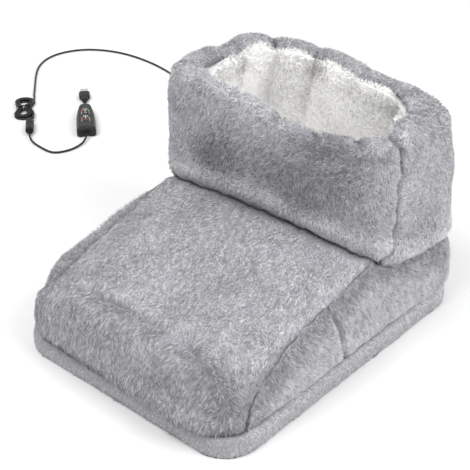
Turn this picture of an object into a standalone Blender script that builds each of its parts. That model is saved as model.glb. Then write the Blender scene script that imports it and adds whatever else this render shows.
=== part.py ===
"""Electric foot warmer: a plush boot for both feet with a heated sole, a lead, a controller and a USB plug.

Metres, +Z up. The boot stands on z = 0 with its toe towards -Y. The origin is under the middle of its sole.
The lead leaves the heel, lies on the floor to the boot's left in a tied hank, and runs on through a plug and
socket to the controller and the USB plug.
"""
import math

import bmesh
import bpy
from mathutils import Matrix, Vector

# Clearances
FIT_GAP = 0.0003
SEAM_GAP = 0.0005
CUT_OVERRUN = 0.002

# Boot
BOOT_WIDTH = 0.300
BOOT_LENGTH = 0.390
RIM_HEIGHT = 0.252
COLLAR_SETBACK = 0.214  # from the toe to the collar's front
SIDE_SEAM_HEIGHT = 0.117  # the vamp's edge where it meets the collar
BACK_SEAM_DROP = 0.031  # how far that edge has fallen at the back
VAMP_CROWN = 0.011
TOE_SEAM_SETBACK = 0.034
SEAM_SET_IN = 0.007
COLLAR_CORNER_SETBACK = 0.012
SIDE_BULGE = 0.004
COLLAR_BULGE = 0.003
HEEL_RADIUS = 0.042
PLUSH_THICKNESS = 0.010
WADDING_THICKNESS = 0.0067
LINING_THICKNESS = 0.0067
RIM_ROLL_RADIUS = 0.0135
RIM_LIP_DROP = 0.008
RIM_FULLNESS = 0.001
LINING_FOLD = 0.0022

# Sole
SOLE_CORNER_RADIUS = 0.040
SOLE_SKIN_THICKNESS = 0.002
SOLE_SKIN_SET_IN = 0.005
BAND_HEIGHT = 0.0217
BAND_WIDTH = 0.014
WALL_SET_IN = 0.004
PAD_SIDE_SETBACK = 0.038
PAD_TOE_SETBACK = 0.044
PAD_HEEL_SETBACK = 0.038
PAD_CORNER_RADIUS = 0.032
FELT_THICKNESS = 0.0025
INSOLE_THICKNESS = 0.010
INSOLE_CROWN = 0.0035
WIRE_DIAMETER = 0.002
WIRE_EDGE = 0.014
WIRE_PITCH = 0.030
NOTCH_WIDTH = 0.026
NOTCH_LENGTH = 0.036

# Cord and its gland
CORD_DIAMETER = 0.003
GLAND_SHAFT_RADIUS = 0.0040
GLAND_FLANGE_RADIUS = 0.0065
GLAND_FLANGE_THICKNESS = 0.0016
GLAND_TAPER_LENGTH = 0.018
GLAND_TIP_RADIUS = 0.0024
THERMOSTAT_WIDTH = 0.008
THERMOSTAT_HEIGHT = 0.004

# Hank
HANK_LENGTH = 0.074
HANK_LOBE_WIDTH = 0.032
HANK_WAIST_WIDTH = 0.0198
HANK_PITCH = 0.0038
HANK_LAYER = 0.00345
HANK_WAIST_LIFT = 0.0010
HANK_ASIDE = 0.0100  # the hank's middle to the left of the socket's axis
HANK_CLEAR = 0.016  # from the socket's end to the hank
HANK_LEAD_IN = 0.020  # how far before the hank the lead already points along it
TIE_WIDTH = 0.0040
TIE_THICKNESS = 0.0005
TIE_EASE = 0.0010
TWIST_LENGTH = 0.0085
TWIST_RADIUS = 0.0008

# Plug and socket
CONNECTOR_RADIUS = 0.0061
CONNECTOR_SHOULDER = 0.0022
SOCKET_LENGTH = 0.014
SOCKET_BORE_RADIUS = 0.0036
SOCKET_BORE_DEPTH = 0.0105
SOCKET_PIN_RADIUS = 0.0010
SOCKET_PIN_LENGTH = 0.0085
PLUG_LENGTH = 0.019
PLUG_RELIEF_LENGTH = 0.006
PLUG_RELIEF_RADIUS = 0.0030
RING_RADIUS = 0.0052
RING_THICKNESS = 0.0012
BARREL_RADIUS = 0.00275
BARREL_BORE_RADIUS = 0.0014
BARREL_LENGTH = 0.0095
BARREL_ROOT = 0.0040

# Controller
CONTROLLER_LENGTH = 0.088
CONTROLLER_WIDTH = 0.0282
CONTROLLER_TOP_WIDTH = 0.0178
CONTROLLER_HEIGHT = 0.0150
CONTROLLER_SPLIT = 0.0070
CONTROLLER_WALL = 0.0018
CONTROLLER_CORNER = 0.0045
CONTROLLER_TOP_CORNER = 0.0070
CONTROLLER_TAPER_START_SHARE = 0.36
NOTCH_DEPTH = 0.0030
NOTCH_HALF = 0.0075
SHOULDER = 0.0042  # how far the domed top draws in
FOOT_SET_IN = 0.0024
CORD_CLAMP_DEPTH = 0.0062
LABEL_THICKNESS = 0.0004
LABEL_MARGIN = 0.0009
BUTTON_RADIUS = 0.0036
BUTTON_PROUD = 0.0006
BUTTON_COLLAR_WIDTH = 0.0009
BUTTON_TRAVEL = 0.0005
TIMER_BUTTON_DOWN = 0.0365  # from the controller's top end
HEAT_BUTTON_DOWN = 0.0620
TIMER_LIGHTS_DOWN = 0.0295
HEAT_LIGHTS_DOWN = 0.0550
LIGHT_RADIUS = 0.0011
LIGHT_SPACING = 0.0050
LIGHT_BAR_THICKNESS = 0.0012
LIGHT_BAR_WIDTH = 0.0030
BOARD_THICKNESS = 0.0012
BOARD_TOP = 0.0078
BOARD_SET_IN = 0.0021
BOARD_LEDGE = 0.0014
BOARD_END = 0.0170
SWITCH_SIZE = 0.0060
SWITCH_HEIGHT = 0.0022
SCREW_RADIUS = 0.0011
SCREW_HEAD_RADIUS = 0.0020
SCREW_HEAD_HEIGHT = 0.0008
SCREW_BITE = 0.0050
BOSS_RADIUS = 0.0026
SCREW_END_DISTANCE = 0.0128

# USB plug
USB_BODY_WIDTH = 0.0170
USB_BODY_LENGTH = 0.0185
USB_BODY_THICKNESS = 0.0080
USB_NECK_WIDTH = 0.0100
USB_NECK_LENGTH = 0.0095
USB_NECK_THICKNESS = 0.0066
USB_RELIEF_LENGTH = 0.0085
USB_RELIEF_RADIUS = 0.0030
USB_SHELL_WIDTH = 0.0120
USB_SHELL_HEIGHT = 0.0045
USB_SHELL_LENGTH = 0.0125
USB_SHELL_WALL = 0.0003
USB_SEAT = 0.0040
USB_TONGUE_THICKNESS = 0.0019
USB_TONGUE_SET_BACK = 0.0008
USB_WINDOW = 0.0023
USB_WINDOW_SPACING = 0.0052
USB_WINDOW_FORWARD = 0.0062
CONTACT_WIDTH = 0.0011
CONTACT_THICKNESS = 0.0002
CONTACT_SPACING = 0.0024
CONTACT_LENGTH = 0.0075

# Where the cord group lies: the plug's front face, and the way its pieces point
LAY_X = -0.549
LAY_Y = 0.150
LAY_ANGLE = math.radians(49.5)
CONTROLLER_ASIDE = 0.082
CONTROLLER_BACK = 0.0377  # from the plug's front face back to the controller's cord end
U_DEPTH_SHARE = 1.015  # how far back the controller's lead loops, by how far aside it runs
USB_FREE_LENGTH = 0.025

# The boot's lead, from its strain relief down to the floor and round to the hank
LEAD_ROUTE = (
    (0.000, 0.219, 0.0120), (-0.004, 0.237, 0.0092), (-0.020, 0.263, 0.0030), (-0.060, 0.291, 0.0015),
    (-0.150, 0.327, 0.0015), (-0.270, 0.372, 0.0015), (-0.390, 0.398, 0.0015), (-0.500, 0.426, 0.0015),
    (-0.592, 0.446, 0.0015), (-0.668, 0.443, 0.0015), (-0.722, 0.414, 0.0015), (-0.742, 0.364, 0.0015),
    (-0.721, 0.310, 0.0015),
)

# Counts
VAMP_ROWS, VAMP_COLUMNS = 10, 14
WALL_ROWS = 5
RUN_COLUMNS, CORNER_COLUMNS, BACK_COLUMNS = 4, 4, 4
HANK_LOOPS, FOLD_POINTS, RUN_POINTS = 4, 8, 4
ROUND, SMALL_ROUND = 20, 12

# The vamp's edge seam and its crown line, as shares of their run from toe to collar and of their rise
SEAM_SHARES = (
    (0.00, 0.00), (0.02, 0.10), (0.05, 0.24), (0.12, 0.42), (0.22, 0.58),
    (0.36, 0.70), (0.52, 0.80), (0.69, 0.87), (0.85, 0.93), (1.00, 1.00),
)
CROWN_SHARES = (
    (0.000, 0.00), (-0.012, 0.13), (0.008, 0.28), (0.065, 0.43), (0.16, 0.555),
    (0.30, 0.66), (0.47, 0.745), (0.65, 0.82), (0.83, 0.90), (1.00, 1.00),
)
HALF_WIDTH = BOOT_WIDTH / 2
PAD_HALF_WIDTH = HALF_WIDTH - PAD_SIDE_SETBACK
TOE_Y = -BOOT_LENGTH / 2
HEEL_Y = BOOT_LENGTH / 2
COLLAR_FRONT_Y = TOE_Y + COLLAR_SETBACK
WALL_BASE = BAND_HEIGHT + FIT_GAP
WALL_LAYERS = {
    "plush": (0, PLUSH_THICKNESS),
    "wadding": (PLUSH_THICKNESS + FIT_GAP, PLUSH_THICKNESS + FIT_GAP + WADDING_THICKNESS),
    "lining": (
        PLUSH_THICKNESS + WADDING_THICKNESS + 2 * FIT_GAP,
        PLUSH_THICKNESS + WADDING_THICKNESS + LINING_THICKNESS + 2 * FIT_GAP,
    ),
}

materials = {}


def material(name, colour, roughness, metallic=0.0):
    made = bpy.data.materials.new(name)
    made.use_nodes = True
    shader = made.node_tree.nodes["Principled BSDF"]
    shader.inputs["Base Color"].default_value = (*colour, 1)
    shader.inputs["Roughness"].default_value = roughness
    shader.inputs["Metallic"].default_value = metallic
    made.diffuse_color = (*colour, 1)
    materials[name] = made


def make_materials():
    material("grey_plush", (0.47, 0.47, 0.50), 0.95)
    material("white_sherpa", (0.86, 0.85, 0.82), 0.95)
    material("polyester_wadding", (0.90, 0.90, 0.90), 0.95)
    material("sole_fabric", (0.12, 0.12, 0.13), 0.9)
    material("foam", (0.80, 0.78, 0.70), 0.9)
    material("felt", (0.75, 0.75, 0.76), 0.95)
    material("silicone_wire", (0.70, 0.20, 0.12), 0.5)
    material("black_pvc", (0.02, 0.02, 0.022), 0.45)
    material("black_abs", (0.015, 0.015, 0.017), 0.25)
    material("label_film", (0.01, 0.01, 0.012), 0.2)
    material("button_rubber", (0.05, 0.05, 0.055), 0.5)
    material("light_bar", (0.75, 0.78, 0.75), 0.2)
    material("circuit_board", (0.02, 0.16, 0.07), 0.5)
    material("nickel", (0.62, 0.62, 0.60), 0.25, 1.0)
    material("brass", (0.72, 0.55, 0.25), 0.3, 1.0)
    material("white_nylon", (0.80, 0.80, 0.78), 0.4)


def add(name, mesh, finish, parent=None, place=None, smooth=True):
    """An object of this mesh, placed in its parent's frame."""
    mesh.materials.append(materials[finish])
    if smooth and hasattr(mesh, "shade_smooth"):
        mesh.shade_smooth()
        mesh.set_sharp_from_angle(angle=math.radians(40))
    made = bpy.data.objects.new(name, mesh)
    bpy.context.collection.objects.link(made)
    made.parent = parent
    if place is not None:
        made.location = place
    return made


def mesh_of(name, points, faces):
    mesh = bpy.data.meshes.new(name)
    mesh.from_pydata([tuple(p) for p in points], [], faces)
    shape = bmesh.new()
    shape.from_mesh(mesh)
    bmesh.ops.recalc_face_normals(shape, faces=shape.faces)
    shape.to_mesh(mesh)
    shape.free()
    return mesh


def draw_in(grid, amount):
    """Moves a grid's edges towards its middle, which leaves the gap of a seam."""
    rows, columns = len(grid), len(grid[0])
    moved = [[Vector(p) for p in row] for row in grid]
    for i in range(rows):
        for j in range(columns):
            step_in = (int(i == 0) - int(i == rows - 1), int(j == 0) - int(j == columns - 1))
            for di, dj in ((step_in[0], 0), (0, step_in[1])):
                if di or dj:
                    moved[i][j] += (grid[i + di][j + dj] - grid[i][j]).normalized() * amount
    return moved


def layer_solid(name, outer, inner, finish):
    """One closed panel between two grids of points."""
    rows, columns = len(outer), len(outer[0])
    points = [p for grid in (outer, inner) for row in grid for p in row]
    at = lambda side, i, j: side * rows * columns + i * columns + j
    faces = []
    for side in (0, 1):
        for i in range(rows - 1):
            for j in range(columns - 1):
                a, b, c, d = at(side, i, j), at(side, i, j + 1), at(side, i + 1, j + 1), at(side, i + 1, j)
                faces += [(a, b, d), (b, c, d)]
    border = (
        [(0, j) for j in range(columns - 1)]
        + [(i, columns - 1) for i in range(rows - 1)]
        + [(rows - 1, j) for j in range(columns - 1, 0, -1)]
        + [(i, 0) for i in range(rows - 1, 0, -1)]
    )
    for k, (i, j) in enumerate(border):
        m, n = border[(k + 1) % len(border)]
        if (m, n) < (i, j):
            i, j, m, n = m, n, i, j
        faces += [(at(0, i, j), at(0, m, n), at(1, m, n)), (at(0, i, j), at(1, m, n), at(1, i, j))]
    return add(name, mesh_of(name, points, faces), finish)


def swept_solid(name, sections, finish, closed, parent=None, place=None, turn=None, mirrored_sections=()):
    """One closed solid through a row of sections, as a ring or with its two ends capped.

    From the point numbered turn on, and again from each of mirrored_sections to its next, the faces are
    split along their other diagonal, so that neighbours whose points run the other way still lie parallel.
    """
    count, size = len(sections), len(sections[0])
    points = [p for section in sections for p in section]
    faces = []
    for i in range(count if closed else count - 1):
        for j in range(size):
            a, b, k = i * size, (i + 1) % count * size, (j + 1) % size
            if (turn is None or j < turn) != (i in mirrored_sections):
                faces += [(a + j, a + k, b + k), (a + j, b + k, b + j)]
            else:
                faces += [(a + j, a + k, b + j), (a + k, b + k, b + j)]
    if not closed:
        faces.append(tuple(range(size)))
        faces.append(tuple(range((count - 1) * size, count * size)))
    return add(name, mesh_of(name, points, faces), finish, parent, place)


def rounded_outline(half_width, low_y, high_y, radius, corner_steps, side_steps=1):
    """Points and outward directions round a rectangle with round corners, from the middle of its low side."""
    found = []
    low_centre, high_centre = low_y + radius, high_y - radius
    corners = ((1, low_centre, -90), (1, high_centre, 0), (-1, high_centre, 90), (-1, low_centre, 180))
    for side, centre_y, start in corners:
        centre_x = side * (half_width - radius)
        for k in range(corner_steps + 1):
            turn = math.radians(start + 90 * k / corner_steps)
            out = Vector((math.cos(turn), math.sin(turn)))
            found.append((Vector((centre_x, centre_y)) + radius * out, out))
    filled = []
    for k, (here, out) in enumerate(found):
        filled.append((here, out))
        there, other = found[(k + 1) % len(found)]
        if (there - here).length > 2 * radius * math.sin(math.radians(45 / corner_steps)) * 1.01:
            for m in range(1, side_steps):
                filled.append((here.lerp(there, m / side_steps), out))
    return filled


def through(points, share):
    """A point of the smooth curve through hand-chosen points, at a share of their count."""
    last = len(points) - 1
    k = min(int(share * last), last - 1)
    t = share * last - k
    a, b = Vector(points[k]), Vector(points[k + 1])
    before = Vector(points[k - 1]) if k else a * 2 - b
    after = Vector(points[k + 2]) if k + 2 <= last else b * 2 - a
    return 0.5 * (
        2 * a + (b - before) * t + (2 * before - 5 * a + 4 * b - after) * t * t
        + (3 * a - before - 3 * b + after) * t ** 3
    )


def profile(shares, start, end):
    """A line of the boot's side view at each of the vamp's rows, and its inward direction there."""
    run, rise = end[0] - start[0], end[1] - start[1]
    rows = [through(shares, k / VAMP_ROWS) for k in range(VAMP_ROWS + 1)]
    points = [Vector((start[0] + along * run, start[1] + up * rise)) for along, up in rows]
    inward = []
    for k in range(VAMP_ROWS + 1):
        along = (points[min(k + 1, VAMP_ROWS)] - points[max(k - 1, 0)]).normalized()
        inward.append(Vector((along[1], -along[0])))
    inward[0] = Vector((1, 0))
    inward[1] = Vector((1, inward[1][1] / 2))
    inward[VAMP_ROWS] = Vector((1, -1))
    return points, inward


SEAM_HALF = HALF_WIDTH - SEAM_SET_IN
SEAM_LINE, SEAM_INWARD = profile(
    SEAM_SHARES,
    (TOE_Y + TOE_SEAM_SETBACK, WALL_BASE),
    (COLLAR_FRONT_Y + COLLAR_CORNER_SETBACK, SIDE_SEAM_HEIGHT),
)
CROWN_LINE, CROWN_INWARD = profile(
    CROWN_SHARES,
    (TOE_Y + WALL_SET_IN, WALL_BASE),
    (COLLAR_FRONT_Y, SIDE_SEAM_HEIGHT + VAMP_CROWN),
)
PLAN_POWER = 9
CROWN_POWER = 3
ACROSS = [math.sin(math.radians(90 * (2 * k / VAMP_COLUMNS - 1))) for k in range(VAMP_COLUMNS + 1)]


def vamp_point(across, row, depth):
    """A point of the vamp: across from -1 at the left seam to 1 at the right one, depth below its surface."""
    seam = SEAM_LINE[row] + depth * SEAM_INWARD[row]
    crown = CROWN_LINE[row] + depth * CROWN_INWARD[row]
    y = seam[0] + (crown[0] - seam[0]) * (1 - abs(across) ** PLAN_POWER)
    z = seam[1] + (crown[1] - seam[1]) * (1 - abs(across) ** CROWN_POWER)
    return Vector((across * (SEAM_HALF - depth), y, z))


def vamp_grid(depth):
    return [[vamp_point(u, row, depth) for u in ACROSS] for row in range(VAMP_ROWS + 1)]


def wall_track(set_in):
    """The right side's way round the heel to the middle of the back: points and outward directions."""
    start = Vector((HALF_WIDTH - set_in, COLLAR_FRONT_Y + COLLAR_CORNER_SETBACK))
    turn_y = HEEL_Y - set_in - HEEL_RADIUS
    turn_x = HALF_WIDTH - set_in - HEEL_RADIUS
    track = []
    for k in range(1, RUN_COLUMNS + 1):
        track.append((start.lerp(Vector((start[0], turn_y)), k / RUN_COLUMNS), Vector((1, 0))))
    for k in range(1, CORNER_COLUMNS + 1):
        turn = math.radians(90 * k / CORNER_COLUMNS)
        out = Vector((math.cos(turn), math.sin(turn)))
        track.append((Vector((turn_x, turn_y)) + HEEL_RADIUS * out, out))
    for k in range(1, BACK_COLUMNS // 2 + 1):
        track.append((Vector((turn_x * (1 - 2 * k / BACK_COLUMNS), HEEL_Y - set_in)), Vector((0, 1))))
    return track


def back_seam_height(y):
    """The seam under the collar falls from its front corner to the back."""
    share = min((y - COLLAR_FRONT_Y - COLLAR_CORNER_SETBACK) / (0.45 * (HEEL_Y - COLLAR_FRONT_Y)), 1)
    return SIDE_SEAM_HEIGHT - BACK_SEAM_DROP * share * (2 - share)


def seam_track():
    """The seam under the collar on the right, after the vamp's corner: points and the way in."""
    return [
        (Vector((p[0], p[1], back_seam_height(p[1]))), Vector((-out[0], -out[1], 0)))
        for p, out in wall_track(SEAM_SET_IN)
    ]


def side_columns(depth):
    """The right wall's bottom and top edges, from the toe to the back, with the way out between them."""
    bottom, top, outward = [], [], []
    start_y, end_y = SEAM_LINE[0][0], SEAM_LINE[VAMP_ROWS][0]
    for row in range(1, VAMP_ROWS + 1):
        share = (row - 1) / (VAMP_ROWS - 1)
        x = SEAM_HALF + (SEAM_SET_IN - WALL_SET_IN) * math.sin(math.radians(90 * min(2 * share, 1)))
        turned_in = depth * max(1 - 3 * share, 0)
        bottom.append(Vector((x - depth, start_y + (end_y - start_y) * share + turned_in, WALL_BASE)))
        top.append(vamp_point(1, row, depth))
        outward.append(Vector((min(2 * share, 1), 0, 0)))
    for (low, out), (high, way_in) in zip(wall_track(WALL_SET_IN), seam_track()):
        bottom.append(Vector((low[0] - depth * out[0], low[1] - depth * out[1], WALL_BASE)))
        top.append(high + depth * way_in)
        outward.append(Vector((out[0], out[1], 0)))
    return list(zip(bottom, top, outward))


def wall_grid(columns):
    grid = []
    for row in range(WALL_ROWS + 1):
        t = row / WALL_ROWS
        grid.append([low.lerp(high, t) + out * SIDE_BULGE * 4 * t * (1 - t) for low, high, out in columns])
    return grid


def mirrored(grid):
    return [[Vector((-p[0], p[1], p[2])) for p in row] for row in grid]


def make_lower_walls():
    """The vamp, the two sides and the heel, each as plush, wadding and lining."""
    seam_columns = VAMP_ROWS + RUN_COLUMNS + CORNER_COLUMNS
    finishes = {"plush": "grey_plush", "wadding": "polyester_wadding", "lining": "white_sherpa"}
    endings = {"plush": "panel", "wadding": "wadding", "lining": "lining"}
    for layer, depths in WALL_LAYERS.items():
        ending, finish = endings[layer], finishes[layer]
        vamp = [draw_in(vamp_grid(d), SEAM_GAP / 2) for d in depths]
        layer_solid("vamp_" + ending, *vamp, finish)
        right, heel = [], []
        for d in depths:
            columns = side_columns(d)
            right.append(draw_in(wall_grid(columns[:seam_columns]), SEAM_GAP / 2))
            back = columns[seam_columns - 1:]
            other = [tuple(Vector((-p[0], *p[1:])) for p in column) for column in back[-2::-1]]
            heel.append(draw_in(wall_grid(back + other), SEAM_GAP / 2))
        layer_solid("right_side_" + ending, *right, finish)
        layer_solid("left_side_" + ending, *[mirrored(grid) for grid in right], finish)
        layer_solid("heel_" + ending, *heel, finish)


RIM_POWER = 6
RIM_HALF = HALF_WIDTH - 2 * RIM_FULLNESS
RIM_MIDDLE_Y = (COLLAR_FRONT_Y + HEEL_Y) / 2
RIM_DEPTH_HALF = (HEEL_Y - COLLAR_FRONT_Y) / 2 - 2 * RIM_FULLNESS


def rim_point(direction):
    """The rim's outline and its way in, on the ray from the collar's middle."""
    x, y = direction.normalized()
    reach = ((abs(x) / RIM_HALF) ** RIM_POWER + (abs(y) / RIM_DEPTH_HALF) ** RIM_POWER) ** (-1 / RIM_POWER)
    steep = RIM_POWER - 1
    out = Vector((
        math.copysign((abs(x) * reach / RIM_HALF) ** steep / RIM_HALF, x),
        math.copysign((abs(y) * reach / RIM_DEPTH_HALF) ** steep / RIM_DEPTH_HALF, y),
    )).normalized()
    return Vector((x * reach, RIM_MIDDLE_Y + y * reach)), -out


def collar_columns():
    """Each column of the collar: its foot on the seam and its head on the rim, each with the way in."""
    feet = [vamp_point(u, VAMP_ROWS, 0) for u in ACROSS]
    front = [(foot, vamp_point(u, VAMP_ROWS, 1) - foot) for foot, u in zip(feet, ACROSS)]
    right = seam_track()
    left = [(Vector((-p[0], *p[1:])), Vector((-m[0], *m[1:]))) for p, m in right[-2::-1]]
    columns = []
    for foot, way_in in front + right + left:
        head, head_in = rim_point(Vector((foot[0], foot[1] - RIM_MIDDLE_Y)))
        columns.append((foot, way_in, head, head_in))
    return columns


def collar_point(column, depth, height):
    """A point in the collar's wall, height from 0 at its seam to 1 where the rim's roll starts."""
    foot, way_in, head, head_in = column
    low = foot + depth * way_in
    high = Vector((head[0] + depth * head_in[0], head[1] + depth * head_in[1], RIM_HEIGHT - RIM_ROLL_RADIUS))
    out = Vector((-head_in[0], -head_in[1], 0))
    return low.lerp(high, height) + out * COLLAR_BULGE * 4 * height * (1 - height)


def lip_height():
    return (RIM_HEIGHT - RIM_ROLL_RADIUS - RIM_LIP_DROP - SIDE_SEAM_HEIGHT) / (
        RIM_HEIGHT - RIM_ROLL_RADIUS - SIDE_SEAM_HEIGHT
    )


def collar_panel_section(column):
    """The plush: up the outside, over the roll, and down to its lip over the lining."""
    foot, way_in, head, head_in = column
    inner = PLUSH_THICKNESS
    lip = lip_height()
    start = SEAM_GAP / 2 / (RIM_HEIGHT - RIM_ROLL_RADIUS - SIDE_SEAM_HEIGHT)
    section = [collar_point(column, 0, h) for h in (start, 0.22, 0.45, 0.68, 0.88)]
    for turn in range(0, 181, 30):
        across = RIM_ROLL_RADIUS * (1 - math.cos(math.radians(turn)))
        up = RIM_ROLL_RADIUS * math.sin(math.radians(turn))
        section.append(Vector((
            head[0] + across * head_in[0],
            head[1] + across * head_in[1],
            RIM_HEIGHT - RIM_ROLL_RADIUS + up,
        )))
    section.append(section[-1] - Vector((0, 0, RIM_LIP_DROP)))
    under = collar_point(column, inner, lip)
    section.append(Vector((under[0], under[1], section[-1][2])))
    section += [collar_point(column, inner, h) for h in (0.68, 0.45, 0.22, start)]
    return section


def collar_layer_section(column, depths, fold):
    """Wadding or lining, from the seam to just under the rim's lip."""
    start = SEAM_GAP / 2 / (RIM_HEIGHT - RIM_ROLL_RADIUS - SIDE_SEAM_HEIGHT)
    top = RIM_HEIGHT - RIM_ROLL_RADIUS - RIM_LIP_DROP - FIT_GAP
    section = []
    for depth, heights in ((depths[0], (start, 0.22, 0.45, 0.68)), (depths[1], (0.68, 0.45, 0.22, start))):
        ends = collar_point(column, depth, lip_height())
        edge = Vector((ends[0], ends[1], top))
        face = [collar_point(column, depth, h) for h in heights]
        if depth == depths[1]:
            inward = Vector((column[3][0], column[3][1], 0)) * fold
            face = [p + inward * math.sin(math.pi * min(1, 1.4 * h + 0.1)) for p, h in zip(face, heights)]
            section += [edge] + face
        else:
            section += face + [edge]
    return section


def shifted(sections, amount):
    """Sections whose first and last stand back by amount, which leaves the gap of an upright seam."""
    moved = list(sections)
    for end, beside in ((0, 1), (-1, -2)):
        moved[end] = [p + (q - p).normalized() * amount for p, q in zip(sections[end], sections[beside])]
    return moved


def make_collar():
    columns = collar_columns()
    front_count = len(ACROSS)
    reach = 1  # the front panel wraps this many columns round each corner
    panel = [collar_panel_section(c) for c in columns]
    total = len(panel)
    first_rear = front_count + reach - 1
    front = [panel[k % total] for k in range(-reach, first_rear + 1)]
    rear = panel[first_rear:total - reach + 1]
    left_start = front_count + RUN_COLUMNS + CORNER_COLUMNS + BACK_COLUMNS
    turn = len(panel[0]) - 5
    swept_solid("collar_front_panel", shifted(front, SEAM_GAP / 2), "grey_plush", False, turn=turn,
                mirrored_sections=range(reach))
    swept_solid("collar_rear_panel", shifted(rear, SEAM_GAP / 2), "grey_plush", False, turn=turn,
                mirrored_sections=range(left_start - first_rear, total))
    wadding = [collar_layer_section(c, WALL_LAYERS["wadding"], 0) for c in columns]
    turn = len(wadding[0]) // 2
    swept_solid("collar_wadding", wadding, "polyester_wadding", True, turn=turn,
                mirrored_sections=range(left_start, total))
    folds = [LINING_FOLD if k % 3 == 0 else 0 for k in range(total)]
    lining = [collar_layer_section(c, WALL_LAYERS["lining"], f) for c, f in zip(columns, folds)]
    swept_solid("collar_lining", lining, "white_sherpa", True, turn=turn,
                mirrored_sections=range(left_start, total))


def prism(name, outline, low, high, finish, parent=None, place=None):
    """An upright block of this outline."""
    count = len(outline)
    points = [(*p, z) for z in (low, high) for p in outline]
    faces = [tuple(range(count)), tuple(range(count, 2 * count))]
    faces += [(k, (k + 1) % count, count + (k + 1) % count, count + k) for k in range(count)]
    return add(name, mesh_of(name, points, faces), finish, parent, place)


def turned(name, profile_points, finish, parent=None, place=None, axis="Y", steps=ROUND):
    """A solid of revolution: (along, radius) points, from one end of its axis to the other."""
    sections = []
    for k in range(steps):
        turn = 2 * math.pi * k / steps
        sections.append([(a, r * math.cos(turn), r * math.sin(turn)) for a, r in profile_points if r])
    to = {"Y": lambda a, p, q: (p, a, q), "Z": lambda a, p, q: (p, q, a)}[axis]
    size = len(sections[0])
    points = [Vector(to(*p)) for section in sections for p in section]
    faces = []
    closed = profile_points[0] == profile_points[-1]
    loop = size - 1 if closed else size
    if closed:
        points = [points[k * size + j] for k in range(steps) for j in range(loop)]
        size = loop
    for k in range(steps):
        n = (k + 1) % steps
        for j in range(size if closed else size - 1):
            faces.append((k * size + j, k * size + (j + 1) % size, n * size + (j + 1) % size, n * size + j))
    if not closed:
        faces.append(tuple(k * size for k in range(steps)))
        faces.append(tuple(k * size + size - 1 for k in range(steps)))
    return add(name, mesh_of(name, points, faces), finish, parent, place)


def cutter(shape):
    shape.hide_render = True
    shape.display_type = "WIRE"
    return shape


def combine(target, tool, operation):
    made = target.modifiers.new(operation.lower(), "BOOLEAN")
    made.operation = operation
    made.solver = "EXACT"
    made.object = cutter(tool)


def tube(name, points, diameter, finish, resolution=2):
    """A cord along points, as a curve with capped ends."""
    curve = bpy.data.curves.new(name, "CURVE")
    curve.dimensions = "3D"
    curve.bevel_depth = diameter / 2
    curve.bevel_resolution = resolution
    curve.use_fill_caps = True
    line = curve.splines.new("POLY")
    line.points.add(len(points) - 1)
    for spot, p in zip(line.points, points):
        spot.co = (*p, 1)
    curve.materials.append(materials[finish])
    made = bpy.data.objects.new(name, curve)
    bpy.context.collection.objects.link(made)
    return made


def smooth_route(points, count):
    """Points at even steps of the smooth curve through a route's own points."""
    fine = [through(points, k / (40 * len(points))) for k in range(40 * len(points) + 1)]
    far = [0.0]
    for a, b in zip(fine, fine[1:]):
        far.append(far[-1] + (b - a).length)
    found, k = [], 0
    for n in range(count + 1):
        wanted = far[-1] * n / count
        while k < len(far) - 2 and far[k + 1] < wanted:
            k += 1
        share = (wanted - far[k]) / max(far[k + 1] - far[k], 1e-9)
        found.append(fine[k].lerp(fine[k + 1], share))
    return found


def route_length(points):
    return sum((b - a).length for a, b in zip(points, points[1:]))


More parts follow.
